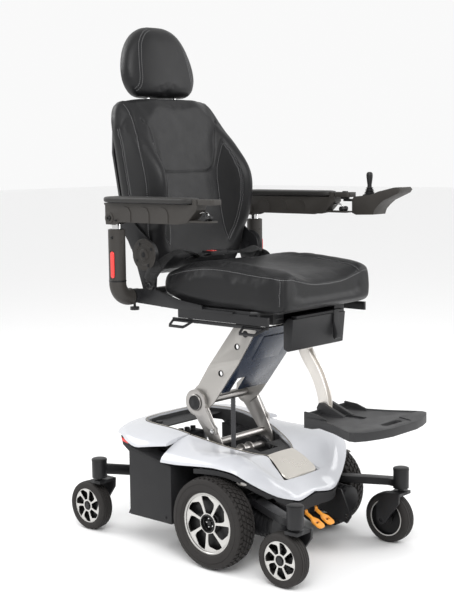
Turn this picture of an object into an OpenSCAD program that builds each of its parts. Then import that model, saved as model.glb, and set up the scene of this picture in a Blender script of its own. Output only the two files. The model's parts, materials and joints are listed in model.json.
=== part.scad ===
/* [Overall] */
// Drive axle position along the length, from the middle of the footprint
axle_y = -75; // [-100:5:-60]
// Segments used on the moulded covers, per control span
cover_steps = 3; // [2:1:5]

/* [Wheels] */
// Drive tyre outside diameter
drive_d = 273; // [260:1:290]
// Distance from the middle plane to the middle of a drive tyre
drive_x = 266; // [260:1:272]
// Caster wheel outside diameter
caster_d = 156; // [150:1:160]
// Distance from the middle plane to a front caster stem
front_stem_x = 259.5; // [255:0.5:265]
// Distance from the middle plane to a rear caster stem
rear_stem_x = 236.5; // [232:0.5:240]
// Front caster stem position ahead of the drive axle
front_stem_y = -298; // [-305:1:-292]
// Rear caster stem position behind the drive axle
rear_stem_y = 518; // [512:1:525]
// Caster trail
trail = 41; // [38:1:44]

/* [Lift] */
// Lower lift pivot along the length
pivot_y = 105; // [100:1:110]
// Lower lift pivot height
pivot_z = 285; // [280:1:290]
// Knee along the length
knee_y = 196; // [190:1:200]
// Knee height
knee_z = 441; // [436:1:446]
// Seat pivot along the length
top_y = 4; // [0:1:8]
// Seat pivot height with the lift fully raised
top_z = 668; // [664:1:672]

/* [Seat] */
// Seat cushion width
seat_w = 462; // [450:2:464]
// Underside of the seat cushion
seat_z = 757; // [756:1:760]
// Height of the seat cushion
seat_h = 129; // [120:1:132]
// Backrest hinge along the length
hinge_y = 285; // [280:1:290]
// Backrest hinge height
hinge_z = 899; // [895:1:905]
// Lean of the backrest behind upright
lean = 11; // [8:0.5:14]
// Distance from the middle plane to an arm post
arm_x = 316; // [312:1:320]
// Arm post position along the length
arm_y = 328; // [324:1:332]

/* [Hidden] */
$fn = 48;
drive_r = drive_d / 2;
caster_r = caster_d / 2;
front_wheel_y = front_stem_y + trail;
rear_wheel_y = rear_stem_y + trail;
fit = 0.05;
steel = [0.16, 0.16, 0.17];
plastic = [0.13, 0.13, 0.14];
silver = [0.62, 0.61, 0.59];
white = [0.93, 0.93, 0.94];
rubber = [0.11, 0.10, 0.10];
cloth = [0.2, 0.2, 0.21];
orange = [0.95, 0.55, 0.12];
red = [0.85, 0.1, 0.1];

/* ---- shared helpers ---- */
module at_axle() translate([0, axle_y, 0]) children();

module right() mirror([1, 0, 0]) children();

module both() {
  children();
  mirror([1, 0, 0]) children();
}

module side(t) rotate([90, 0, 90]) linear_extrude(t, center = true) children();

module rod_x(r, l) rotate([0, 90, 0]) cylinder(r = r, h = l, center = true);

module rod_y(r, l) rotate([90, 0, 0]) cylinder(r = r, h = l, center = true);

module slab(x0, x1, y0, y1, z0, z1) translate([x0, y0, z0]) cube([x1 - x0, y1 - y0, z1 - z0]);

module round_slab(w, d, h, r) linear_extrude(h) {
  square([w - 2 * r, d], center = true);
  square([w, d - 2 * r], center = true);
  for (sx = [-1, 1])
    for (sy = [-1, 1])
      translate([sx * (w / 2 - r), sy * (d / 2 - r)]) circle(r = r);
}

module bar(a, b, r) {
  v = b - a;
  l = norm(v);
  translate(a) rotate([0, acos(v[2] / l), atan2(v[1], v[0])]) cylinder(r = r, h = l);
}

function spline(a, b, c, d, t) =
  0.5 * ((2 * b) + (c - a) * t + (2 * a - 5 * b + 4 * c - d) * t * t
  + (3 * b - a - 3 * c + d) * t * t * t);

function pick(v, i) = v[max(0, min(len(v) - 1, i))];

function smooth(v, n) = concat(
  [for (i = [0:len(v) - 2])
    for (k = [0:n - 1])
      spline(pick(v, i - 1), pick(v, i), pick(v, i + 1), pick(v, i + 2), k / n)],
  [v[len(v) - 1]]
);

// Rows are closed outlines with the same number of points, given from one end to the other
module loft(rows) {
  n = len(rows[0]);
  m = len(rows);
  polyhedron(
    points = [for (r = rows) each r],
    faces = concat(
      [[for (j = [0:n - 1]) j]],
      [[for (j = [n - 1:-1:0]) (m - 1) * n + j]],
      [for (i = [0:m - 2])
        for (j = [0:n - 1])
          each [
            [i * n + j, (i + 1) * n + (j + 1) % n, i * n + (j + 1) % n],
            [i * n + j, (i + 1) * n + j, (i + 1) * n + (j + 1) % n]
          ]]
    )
  );
}

function reversed(v) = [for (i = [len(v) - 1:-1:0]) v[i]];

// A moulded skin of thickness t under rows that run from the inner edge to the outer edge
function skin_row(rows, i, t) =
  let (r = rows[i], along = pick(rows, i + 1) - pick(rows, i - 1))
    concat(r, [for (j = [len(r) - 1:-1:0])
      let (n = cross(along[j], pick(r, j + 1) - pick(r, j - 1)))
        r[j] - t * n / norm(n)]);

function opposite(row) = [for (p = row) [-p[0], p[1], p[2]]];

module moulded(half, t) {
  rows = concat(half, [for (i = [len(half) - 2:-1:0]) opposite(half[i])]);
  loft([for (i = [0:len(rows) - 1]) skin_row(rows, i, t)]);
}

/* ---- base ---- */
module base_frame() color(steel) at_axle() difference() {
  union() {
    both() {
      slab(96, 126, -118, 425, 150, 205);
      // lift pedestal gusset
      translate([84, 0, 0]) side(12)
        polygon([[20, 205], [200, 205], [160, 250], [126, 300], [105, 311], [84, 300], [58, 250]]);
      slab(78, 96, 10, 210, 195, 207);
      slab(78, 108, 55, 80, 195, 207);
      // battery shelf
      slab(126, 262, 150, 330, 96, 101);
      slab(126, 131, 150, 330, 96, 160);
      // shaft that carries a front caster arm
      translate([166, -76, 198]) rod_x(9, 80);
      // actuator foot
      slab(20, 28, 294, 330, 154, 214);
      // ears that carry a freewheel lever
      slab(11, 15, -153, -118, 131, 160);
      slab(33, 37, -153, -118, 131, 160);
      translate([24, -146, 138]) rod_x(3, 26);
    }
    slab(-96, 96, -118, -88, 150, 205);
    slab(-96, 96, 395, 425, 150, 205);
    slab(-96, 96, -88, 395, 150, 154);
    slab(-70, 70, -126, -118, 150, 205);
    translate([0, 312, 196]) rod_x(7, 56);
    // power module standing behind the lift, with its plugs
    slab(-70, 70, 345, 392, 154, 300);
    slab(-58, 58, 335, 345, 220, 290);
    for (x = [-42, -14, 14, 42])
      translate([x, 368, 299]) cylinder(r = 9, h = 15);
  }
  both() translate([84, pivot_y, pivot_z]) rod_x(12 + fit, 20);
  for (s = [-1, 1])
    translate([s * 60, -103, 178]) rod_y(4.25, 70);
}

module rear_caster_beam() color(steel) at_axle() {
  difference() {
    union() {
      both() {
        bar([100, 455, 178], [rear_stem_x, rear_stem_y, 204], 17);
        translate([rear_stem_x, rear_stem_y, 175]) cylinder(r = 24, h = 58);
      }
      slab(-115, 115, 438, 468, 155, 205);
      slab(-80, 80, 425.2, 438, 160, 200);
    }
    both() translate([rear_stem_x, rear_stem_y, 174]) cylinder(r = 9 + fit, h = 46);
  }
}

function level(y, line) = [for (p = line) [p[0], y, p[1]]];

front_line = [
  level(190, [[156, 333], [158, 346], [172, 347], [205, 341], [250, 323], [284, 301], [290, 287]]),
  level(130, [[145, 323], [147, 335], [161, 336], [201, 332], [248, 323], [283, 303], [289, 289]]),
  level(64, [[121, 307], [124, 319], [138, 321], [185, 325], [240, 325], [279, 308], [286, 295]]),
  level(0, [[87, 292], [90, 304], [104, 306], [160, 318], [225, 329], [272, 313], [281, 300]]),
  level(-35, [[60, 284], [63, 296], [77, 298], [140, 309], [212, 330], [266, 312], [277, 299]]),
  [[67, -62, 266], [70, -62, 279], [84, -63, 281], [140, -66, 294], [204, -70, 320],
    [256, -77, 303], [266, -79, 292]],
  [[74, -90, 248], [77, -90, 261], [91, -91, 263], [136, -94, 276], [188, -98, 299],
    [230, -103, 283], [242, -105, 270]],
  [[80, -113, 233], [83, -113, 245], [95, -115, 248], [124, -118, 255], [158, -121, 268],
    [192, -125, 255], [204, -127, 242]],
  [[79, -119, 228], [82, -120, 240.5], [90, -123, 243], [108, -130, 243], [128, -139, 237],
    [146, -148, 221], [152, -149, 211]],
  [[56, -119, 227], [58, -120.5, 239.5], [64, -125, 240], [78, -138, 233], [93, -154, 219],
    [102, -165, 205], [104, -168, 195]],
  [[28, -119, 227], [29, -120.5, 239], [34, -126, 239], [46, -140, 229], [62, -157, 211],
    [72, -168, 199], [74, -170, 188]],
  [[14, -119, 227], [14.5, -120.5, 238.7], [17, -126, 238.5], [23, -140, 228], [31, -157, 212],
    [36, -167, 201], [37, -168, 192]],
  [[0, -119, 227], [0, -120.5, 238.5], [0, -126, 238], [0, -139, 228], [0, -155, 214],
    [0, -164, 206], [0, -166, 199]]
];

module shroud_front() color(white) at_axle()
  moulded([for (r = smooth(front_line, cover_steps)) smooth(r, 2)], 3.2);

rear_line = [
  level(192, [[156, 337], [158, 348], [172, 349], [205, 348], [240, 344], [258, 338], [264, 331]]),
  level(250, [[161, 346], [163, 357], [177, 358], [210, 356], [250, 347], [277, 335], [284, 324]]),
  level(300, [[163, 349], [165, 360], [179, 361], [214, 357], [255, 346], [281, 331], [288, 317]]),
  level(350, [[158, 350], [160, 361], [174, 362], [207, 360], [245, 350], [269, 341], [277, 327]]),
  level(388, [[146, 350], [148, 361], [160, 362], [188, 361], [222, 354], [247, 347], [256, 334]]),
  [[131, 404, 350], [133, 404, 361], [144, 407, 362], [171, 411, 361], [207, 417, 354],
    [231, 422, 346], [239, 424, 335]],
  [[112, 415, 350], [114, 416, 361], [124, 420, 362], [150, 427, 361], [188, 437, 353],
    [210, 445, 341], [217, 447, 329]],
  [[88, 422, 350], [89, 423, 361], [98, 428, 362], [124, 438, 360.5], [162, 452, 352],
    [184, 461, 338], [190, 463, 326]],
  [[58, 424.5, 350], [59, 425.5, 361], [65, 431, 362], [86, 442, 360.5], [122, 457, 354],
    [143, 467, 343], [148, 469.5, 332]],
  [[28, 425, 350], [28.5, 426, 361], [32, 431, 362], [42, 443, 361], [62, 458, 357],
    [74, 468, 348], [76, 471, 337]],
  [[0, 425, 350], [0, 426, 361], [0, 431, 362], [0, 443, 361], [0, 458, 358], [0, 468, 350],
    [0, 471, 339]]
];

module shroud_rear() color(white) at_axle() mirror([1, 0, 0])
  moulded([for (r = smooth(rear_line, cover_steps)) smooth(r, 2)], -3.2);

panel_line = [
  [-34, 297], [-48, 291], [-62, 283.5], [-76, 274], [-90, 263.5], [-104, 252.5], [-119.5, 240.5]
];

module front_panel() color(silver) at_axle() intersection() {
  side(200) polygon(concat(panel_line, [for (p = reversed(panel_line)) [p[0], p[1] - 2.4]]));
  translate([0, 0, 200]) linear_extrude(120) polygon([
    [-58.5, -34], [-66, -62], [-73, -90], [-77.5, -112], [-78, -119.5],
    [78, -119.5], [77.5, -112], [73, -90], [66, -62], [58.5, -34]
  ]);
}

trim_line = [
  [284, 60, 288], [279, 0, 293], [273, -45, 292], [264, -84, 284], [236, -104, 262],
  [203, -124, 238], [172, -137, 220], [142, -149, 206], [112, -160, 195], [97, -169, 187],
  [76, -173, 184], [50, -173, 186], [24, -172, 191], [0, -171.5, 194]
];

module lower_trim() color(plastic) at_axle() both() {
  path = smooth(trim_line, 3);
  loft([for (i = [0:len(path) - 1])
    let (p = path[i],
      a = pick(path, i - 1),
      b = pick(path, i + 1),
      d = [b[0] - a[0], b[1] - a[1]] / norm([b[0] - a[0], b[1] - a[1]]),
      n = [d[1], -d[0]],
      h = p[0] > 158 && p[0] < 190 ? p[2] - 208.5 : 14 + 24 * max(0, 1 - p[0] / 150))
      [p, [p[0], p[1], p[2] - h],
        [p[0] + n[0] * 14, p[1] - n[1] * -14, p[2] - h - 2],
        [p[0] + n[0] * 14, p[1] - n[1] * -14, p[2] - 1]]]);
}

opening = [
  [0, 422], [60, 422], [112, 411], [141, 385], [151, 350], [156, 300], [154, 250], [149, 190],
  [138, 130], [115, 64], [81, 0], [54, -31], [0, -31]
];

module opening_shape(inset) {
  k = 1 - inset / 130;
  for (s = [-1, 1])
    polygon([for (p = opening) [s * p[0] * k, (p[1] - 200) * (1 - inset / 225) + 200]]);
}

module ramp_cover() color(plastic) at_axle() {
  difference() {
    intersection() {
      translate([0, 0, 200]) linear_extrude(170) difference() {
        opening_shape(0);
        opening_shape(5);
      }
      side(400) polygon([[-34, 262], [60, 272], [130, 289], [190, 305], [330, 321], [430, 323], [430, 356],
        [300, 357], [250, 353], [190, 342], [130, 330], [64, 314], [0, 299], [-34, 292]]);
    }
    // room for the flat panel edge
    slab(-57, 57, -40, -33, 255, 300);
    // room for the lift links
    both() slab(112, 119.6, 83, 106, 255, 345);
    both() slab(96, 113.4, 36, 90, 300, 345);
  }
  difference() {
    intersection() {
      translate([0, 0, 200]) linear_extrude(170) opening_shape(3);
      side(400) polygon([[-31, 268], [-29, 293], [0, 298], [30, 302.5], [56, 304], [56, 300.5],
        [30, 299], [0, 294.5], [-25, 289.5], [-27, 268]]);
    }
    slab(-42, 42, 8, 60, 250, 310);
  }
  // rear shelf with cable clips
  intersection() {
    translate([0, 0, 200]) linear_extrude(170) opening_shape(4);
    slab(-200, 200, 336, 430, 342, 346);
  }
  both() translate([95, 385, 345.5]) cylinder(r = 11, h = 6);
}

module battery_box() color(plastic) {
  difference() {
    translate([212, 0, 0]) side(146)
      polygon([[152, 102], [328, 102], [328, 314], [152, 279]]);
    translate([212, 0, 0]) side(138)
      polygon([[156, 106], [324, 106], [324, 308.5], [156, 275]]);
    // filler hole above the battery
    translate([212, 250, 280]) cylinder(r = 12, h = 50);
  }
  // sloping foot at the rear
  translate([212, 0, 0]) side(140) polygon([[327, 102], [340, 102], [327, 124]]);
  // tail fin under the rear cover
  translate([231, 0, 0]) side(16)
    polygon([[327, 262], [327, 313], [372, 321], [412, 328], [404, 300], [368, 276]]);
  // battery
  translate([146, 160, 105.9]) cube([132, 160, 160]);
}

module battery_box_left() at_axle() battery_box();

module battery_box_right() at_axle() right() battery_box();

module gearmotors() color(steel) at_axle() both() {
  difference() {
    union() {
      slab(128, 214, -60, 62, 84, 178);
      translate([214, 0, drive_r]) rod_x(38, 24);
    }
    translate([220, 0, drive_r]) rod_x(10 + fit, 60);
  }
  // motor body lying along the chair with cooling ribs
  translate([170, -112, 136]) rod_y(40, 120);
  for (y = [-160:15:-70])
    translate([170, y, 136]) rod_y(42.5, 5);
  // front bracket plate
  difference() {
    translate([130, 0, 0]) side(6) polygon([[-60, 110], [-60, 178], [-118, 184], [-168, 176],
      [-205, 96], [-190, 74], [-150, 84]]);
    translate([130, -190, 96]) rod_x(7, 20);
  }
}

module tail_lights() color(red) at_axle() both()
  translate([240.2, 0, 0]) side(2.4) polygon([[380, 316], [408, 322], [404, 311], [378, 306]]);

module conduit() color(plastic) at_axle() {
  translate([-98, 67, 207]) cylinder(r = 6.5, h = 262);
  for (z = [212:8:462])
    translate([-98, 67, z]) cylinder(r = 7.4, h = 4);
}

/* ---- front caster arms ---- */
module front_arm() color(steel) difference() {
  union() {
    translate([0, 0, 182]) linear_extrude(21) polygon([[238, -304], [281, -304], [274, -258],
      [254, -210], [198, -92], [198, -60], [158, -60], [158, -96], [222, -226], [240, -262]]);
    translate([front_stem_x, front_stem_y, 176]) cylinder(r = 24, h = 60);
    translate([178, -76, 198]) rod_x(19, 44);
  }
  translate([front_stem_x, front_stem_y, 175]) cylinder(r = 9 + fit, h = 46);
  translate([178, -76, 198]) rod_x(9 + fit, 60);
}

module front_arm_left() at_axle() front_arm();

module front_arm_right() at_axle() right() front_arm();

/* ---- freewheel levers ---- */
module freewheel_lever() color(orange) difference() {
  union() {
    rod_x(8, 12);
    rotate([28, 0, 0]) {
      slab(-5, 5, -34, 0, -3, 3);
      translate([0, -52, 0]) linear_extrude(6, center = true)
        polygon([[-7, 20], [7, 20], [15, 8], [15, -16], [9, -24], [-9, -24], [-15, -16], [-15, 8]]);
    }
  }
  rod_x(3 + fit, 30);
  rotate([28, 0, 0]) translate([0, -54, 0]) cube([17, 9, 20], center = true);
}

module lever_at(x) translate([x, -146, 138]) children();

module freewheel_lever_left() at_axle() lever_at(24) freewheel_lever();

module freewheel_lever_right() at_axle() lever_at(-24) freewheel_lever();

/* ---- wheels ---- */
module drive_tyre() color(rubber) translate([drive_x, 0, drive_r]) rotate([0, 90, 0])
  rotate_extrude($fn = 96) polygon([
    [91, -29], [91, 29], [93, 32], [101, 35.5], [114, 37], [125, 35.5], [131, 32], [134.5, 26],
    [drive_r, 16], [drive_r, -16], [134.5, -26], [131, -32], [125, -35.5], [114, -37],
    [101, -35.5], [93, -32]
  ]);

module drive_tyre_left() at_axle() drive_tyre();

module drive_tyre_right() at_axle() right() drive_tyre();

function polar(r, a) = [r * cos(a), r * sin(a)];

module windows(k) for (i = [0:6])
  rotate(i * 360 / 7) polygon([
    polar(33 * k, 1), polar(52 * k, 0), polar(68 * k, 3), polar(78 * k, 8), polar(82 * k, 12),
    polar(83.4 * k, 20), polar(83.4 * k, 28), polar(81 * k, 33), polar(74 * k, 36),
    polar(52 * k, 36.5), polar(33 * k, 36)
  ]);

module drive_rim() color(silver) translate([drive_x, 0, drive_r]) rotate([0, 90, 0]) difference() {
  union() {
    rotate_extrude($fn = 96) polygon([
      [0, -22], [27, -22], [27, 11], [80, 16], [84, 10], [84, -28], [90.95, -28], [90.95, 28.5],
      [87, 30], [84.5, 28], [80, 24], [30, 20], [27, 25], [22, 26], [19, 22], [19, 4], [0, 4]
    ]);
    translate([0, 0, -62]) cylinder(r = 10, h = 44);
    cylinder(r = 6, h = 10);
  }
  translate([0, 0, -10]) rotate(27) mirror([0, 1, 0]) linear_extrude(60) windows(1);
}

module drive_rim_left() at_axle() drive_rim();

module drive_rim_right() at_axle() right() drive_rim();

// One-sided fork on the inner side, swivelling on its stem
module fork() color(steel) {
  difference() {
    union() {
      cylinder(r = 9, h = 56);
      translate([0, 0, -1]) cylinder(r = 23, h = 9);
      translate([-44, 0, 0]) side(9) polygon([
        [-24, 8], [24, 8], [58, -34], [trail + 15, -82], [trail, -97], [trail - 15, -88], [-22, -22]
      ]);
      slab(-48, 20, -22, 22, -2, 7.5);
    }
    translate([-44, trail, -82]) rod_x(6, 20);
  }
  translate([-14, trail, -82]) rod_x(6, 62);
  translate([18, trail, -82]) rod_x(9, 3);
}

module fork_at(x, y) translate([x, y, caster_r + 82]) children();

module front_fork_left() at_axle() fork_at(front_stem_x, front_stem_y) fork();

module front_fork_right() at_axle() right() fork_at(front_stem_x, front_stem_y) fork();

module rear_fork_left() at_axle() fork_at(rear_stem_x, rear_stem_y) fork();

module rear_fork_right() at_axle() right() fork_at(rear_stem_x, rear_stem_y) fork();

module caster() color(rubber) rotate([0, 90, 0]) difference() {
  rotate_extrude($fn = 72) polygon([
    [6 + fit, -14], [20, -14], [20, -10], [52, -10], [55, -21], [62, -24], [70, -23], [76, -18],
    [caster_r, -9], [caster_r, 9], [76, 18], [70, 23], [62, 24], [56.5, 22], [54, 19.5], [50, 16],
    [20, 13], [18, 16], [15, 16], [6 + fit, 16]
  ]);
  translate([0, 0, 6]) rotate(27) mirror([0, 1, 0]) linear_extrude(40) windows(0.605);
}

module front_caster_left() at_axle() translate([front_stem_x, front_wheel_y, caster_r]) caster();

module front_caster_right() at_axle() right()
  translate([front_stem_x, front_wheel_y, caster_r]) caster();

module rear_caster_left() at_axle() translate([rear_stem_x, rear_wheel_y, caster_r]) caster();

module rear_caster_right() at_axle() right()
  translate([rear_stem_x, rear_wheel_y, caster_r]) caster();

/* ---- lift ---- */
module lift_link() color(steel) at_axle() {
  both() translate([116, 0, 0]) side(5) polygon([
    [88, 273], [97, 265], [116, 264], [128, 277], [150, 330], [221, 416], [228, 441],
    [216, 467], [196, 474], [174, 466], [164, 446], [120, 372], [90, 312]
  ]);
  // pivot shaft, spreader and knee shaft
  translate([0, pivot_y, pivot_z]) rod_x(12, 238);
  translate([0, 128, 322]) rod_x(11, 232);
  translate([0, knee_y, knee_z]) rod_x(14, 232);
  // crank for the actuator
  both() translate([18, 0, 0]) side(6) difference() {
    union() {
      translate([pivot_y, pivot_z]) circle(r = 20);
      translate([pivot_y, 225]) circle(r = 20);
      polygon([[pivot_y - 20, 225], [pivot_y + 20, 225], [pivot_y + 20, pivot_z],
        [pivot_y - 20, pivot_z]]);
    }
    translate([pivot_y, 225]) circle(r = 13);
  }
}

module link_covers() color(silver) at_axle() both() {
  difference() {
    translate([123, 0, 0]) side(9) union() {
      translate([knee_y, knee_z]) circle(r = 40);
      polygon([[158, 427], [167, 414], [112, 371], [112, 352], [132, 350], [140, 362],
        [230, 422], [228, 460]]);
      translate([125, 361]) circle(r = 13);
      polygon([[157, 433], [119, 372], [133, 350], [236, 437]]);
    }
    translate([128.5, knee_y, knee_z]) rod_x(22, 6);
  }
  translate([127, knee_y, knee_z]) rod_x(21, 7);
  translate([128.5, 125, 361]) rod_x(6, 4);
}

module lift_arm() color(silver) at_axle() {
  both() difference() {
    translate([109, 0, 0]) side(6) union() {
      polygon([[44, 691], [-41, 686], [-24, 661], [28, 582], [131, 448], [160, 420], [196, 402],
        [232, 430], [232, 462], [195, 495], [153, 556]]);
      translate([knee_y, knee_z]) circle(r = 38);
    }
    translate([109, knee_y, knee_z]) rod_x(14 + fit, 30);
    translate([109, top_y, top_z]) rod_x(10 + fit, 30);
    translate([109, 37, 627]) rod_x(9.5, 30);
    translate([109, 103, 539]) rod_x(9.5, 30);
  }
  // raised bend across the plate
  both() translate([112.6, 0, 0]) side(2)
    polygon([[20, 594], [27, 584], [150, 553], [144, 566]]);
  // cross tubes
  translate([0, 118, 560]) rod_x(11, 214);
  translate([0, 12, 640]) rod_x(8, 214);
}

module lift_arm_cover() color([0.15, 0.17, 0.21]) at_axle() {
  difference() {
    side(211.8) polygon([[-44, 684], [-27, 659], [25, 580], [104, 477],
      [107, 480], [29, 582], [-22, 661], [-38, 684]]);
    slab(-72, -32, 70, 130, 440, 530);
  }
  // pressed panel edge
  side(120) polygon([[-25, 658.5], [-29, 656], [20.5, 580.5], [25.5, 581.5]]);
}

module along_actuator() translate([0, 312, 196]) rotate([82.04, 0, 0]) children();

module actuator_body() color(plastic) at_axle() along_actuator() difference() {
  union() {
    rod_x(15, 26);
    translate([0, 0, 8]) cylinder(r = 12, h = 20);
    translate([0, 0, 26]) cylinder(r = 23, h = 100);
  }
  rod_x(7 + fit, 60);
  translate([0, 0, 36]) cylinder(r = 10 + fit, h = 120);
}

module actuator_rod() color(silver) at_axle() along_actuator() {
  translate([0, 0, 66]) cylinder(r = 10, h = 132);
  translate([0, 0, 209.3]) rod_x(14, 26);
  translate([0, 0, 209.3]) rod_x(7, 44);
}

/* ---- seat base ---- */
module seat_base() color(steel) at_axle() {
  difference() {
    union() {
      slab(-125, 125, -150, 150, 714, 722);
      both() slab(120, 160, -150, 170, 714, 730);
    }
    both() for (y = [-120, 120])
      translate([100, y, 710]) cylinder(r = 4.25, h = 20);
  }
  both() translate([99, 0, 0]) side(10)
    polygon([[-52, 716], [64, 716], [30, 672], [13, 651], [-6, 648], [-24, 664]]);
  translate([0, top_y, top_z]) rod_x(10, 226);
  // bracket that carries the foot hanger
  slab(-24, 24, -150, -118, 640, 716);
}

module front_box() color(plastic) at_axle() {
  difference() {
    union() {
      side(248)
        polygon([[-187, 727], [-178, 637], [-166, 633], [-151, 640], [-151, 712], [-168, 730]]);
      slab(-112, 112, -190, -170, 729, 736);
    }
    side(236) polygon([[-183, 724], [-174, 641], [-166, 637.5], [-145, 646], [-145, 709], [-170, 726]]);
  }
  // strap with its folded end
  slab(62, 88, -192, -188, 672, 737);
  translate([75, 0, 0]) side(26)
    polygon([[-192, 704], [-204, 668], [-200, 654], [-192, 650], [-188, 654], [-188, 704]]);
}

hanger_line = [
  [-134, 638.3], [-134, 624], [-143, 606], [-159, 583], [-177, 557], [-191, 528], [-201, 500],
  [-206, 476], [-208, 454]
];

function hanger_edge(d) = let (p = smooth(hanger_line, 3))
  [for (i = [0:len(p) - 1])
    let (a = pick(p, i - 1), b = pick(p, i + 1), t = (b - a) / norm(b - a))
      [p[i][0] + d * t[1], p[i][1] - d * t[0]]];

module hanger_band(a, b) polygon(concat(hanger_edge(a), reversed(hanger_edge(b))));

module foot_hanger() color([0.78, 0.76, 0.73]) at_axle() {
  difference() {
    union() {
      both() translate([9.5, 0, 0]) side(5) hanger_band(-17, 17);
      side(14) hanger_band(-13, 9);
      translate([0, -208, 448]) rod_x(17, 24);
      slab(-12, 12, -151, -117, 626, 640);
    }
    translate([0, -208, 448]) rod_x(6 + fit, 60);
  }
}

half_step = [
  [-205, 100], [-262, 104], [-285, 113], [-335, 132], [-392, 164], [-422, 180], [-440, 176],
  [-457, 150], [-472, 108], [-483, 60]
];

// The platform's outline drawn in by d
function step_outline(d) = concat(
  [for (p = half_step) [p[1] - d, p[0] + (p[0] < -400 ? d : 0)]],
  [for (p = reversed(half_step)) [d - p[1], p[0] + (p[0] < -400 ? d : 0)]]
);

module foot_platform() color(plastic) at_axle() {
  difference() {
    // tread plate with its skirt
    translate([0, 0, 421]) linear_extrude(24) polygon(step_outline(0));
    // hollow underside
    translate([0, 0, 400]) linear_extrude(36)
      polygon([for (p = step_outline(7)) [p[0], min(p[1], -300)]]);
    // room for the hanger
    slab(-13.9, 13.9, -256, -180, 400, 480);
    // dished tread and grip surround
    translate([0, 0, 442.5]) linear_extrude(10)
      polygon([for (p = step_outline(9)) [p[0], min(max(p[1], -414), -212)]]);
    translate([0, 0, 443]) linear_extrude(10)
      polygon([[-78, -400], [-58, -466], [58, -466], [78, -400]]);
    translate([0, -312, 438]) linear_extrude(12) square([32, 66], center = true);
    grip_slot();
  }
  // raised side walls and rear wall
  both() {
    translate([97, 0, 0]) side(6)
      polygon([[-205, 414], [-205, 461], [-248, 458], [-284, 447], [-284, 425], [-235, 414]]);
    slab(44, 98, -211, -205, 414, 456);
    slab(30, 46, -211, -205, 424, 456);
    // hinge ears
    translate([20, 0, 0]) side(12)
      polygon([[-196, 440], [-194, 460], [-202, 474], [-214, 474], [-290, 445], [-290, 440]]);
  }
  difference() {
    translate([0, -438, 424]) round_slab(98, 36, 19, 16);
    grip_slot();
  }
  // hinge pin
  translate([0, -208, 448]) rod_x(6, 60);
}

module grip_slot() translate([0, -438, 418]) linear_extrude(40) {
  square([62, 24], center = true);
  for (s = [-1, 1])
    translate([s * 31, 0]) circle(r = 12);
}

/* ---- seat ---- */
module seat_pan() color(steel) at_axle() difference() {
  union() {
    difference() {
      translate([0, 0, 746]) linear_extrude(10) polygon([[-230, 225], [-230, -118], [-176, -172],
        [176, -172], [230, -118], [230, 225]]);
      slab(-150, 150, -150, 150, 740, 750);
    }
    both() {
      slab(226, 234, -184, 160, 719, 744);
      slab(224, 234, -117, 160, 740, 747);
      // slide runners under the pan, riding on the rails
      slab(160.2, 168, -150, 150, 714, 748);
      slab(120, 168, -150, 150, 730.1, 737);
      slab(120, 168, -150, -140, 736, 748);
      slab(120, 168, 140, 150, 736, 748);
      // side plate and lower hinge bracket
      translate([238, 0, 0]) side(6) union() {
        polygon([[346, 752], [352, 766], [346, 792], [301, 796], [263, 800], [150, 772],
          [59, 762], [56, 750], [160, 744], [272, 749]]);
        polygon([[246, 786], [238, 880], [262, 930], [310, 930], [333, 894], [296, 790]]);
        translate([hinge_y, hinge_z]) circle(r = 46);
      }
      slab(226, 240, -60, 225, 746, 752);
      // recline disc with hub
      translate([243.5, hinge_y, hinge_z]) rod_x(48, 6);
      translate([247, hinge_y, hinge_z]) rod_x(14, 4);
      for (a = [60, 150, 240, 330])
        translate([247, hinge_y + 36 * cos(a), hinge_z + 36 * sin(a)]) rod_x(5, 3);
      translate([232, hinge_y, hinge_z]) rod_x(8, 12);
      // clamp for the arm tube, with its knob
      translate([246, arm_y, 773]) rod_x(22, 22);
      translate([248, arm_y, 738]) cylinder(r = 4, h = 15);
      translate([248, arm_y, 730]) cylinder(r = 14, h = 10, $fn = 8);
    }
    translate([0, arm_y, 773]) rod_x(18, 474);
    // ears for the release lever
    for (y = [-131, 131])
      slab(-219, -205, y - 3, y + 3, 701, 747);
  }
  translate([0, arm_y, 773]) rod_x(13.5 + fit, 560);
  both() translate([238, 262, 808]) rod_x(5, 20);
  translate([-212, 0, 708]) rod_y(5 + fit, 300);
  // accessory holes along both edges
  both() for (y = [-100, -60, 20, 60])
    translate([212, y, 740]) cylinder(r = 3.3, h = 20);
}

module seat_cushion() color(cloth) at_axle() translate([0, 2, seat_z]) {
  difference() {
    round_slab(seat_w, 454, seat_h, 62);
    // the rear underside lifts over the cross tube
    translate([0, 0, 0]) side(600) polygon([[150, -1], [230, -1], [230, 24]]);
  }
}

module lever_loop(y) intersection() {
  translate([0, y + 60, 0]) rotate([90, 0, 0]) linear_extrude(120)
    polygon([[223, 714.5], [223, 710], [259, 692], [261, 696.5]]);
  translate([0, y, 680]) linear_extrude(50) difference() {
    polygon([[222, -44], [252, -34], [262, -26], [262, 26], [252, 34], [222, 44]]);
    polygon([[232, -34], [250, -27], [254, -23], [254, 23], [250, 27], [232, 34]]);
  }
}

module release_lever() color(steel) at_axle() right() {
  lever_loop(146);
  lever_loop(-128);
  slab(220.5, 226.5, -178, 190, 708.5, 716);
  for (y = [-100, 100])
    slab(209, 222, y - 8, y + 8, 704.5, 711);
  translate([212, 0, 708]) rod_y(5, 268);
}

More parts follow.
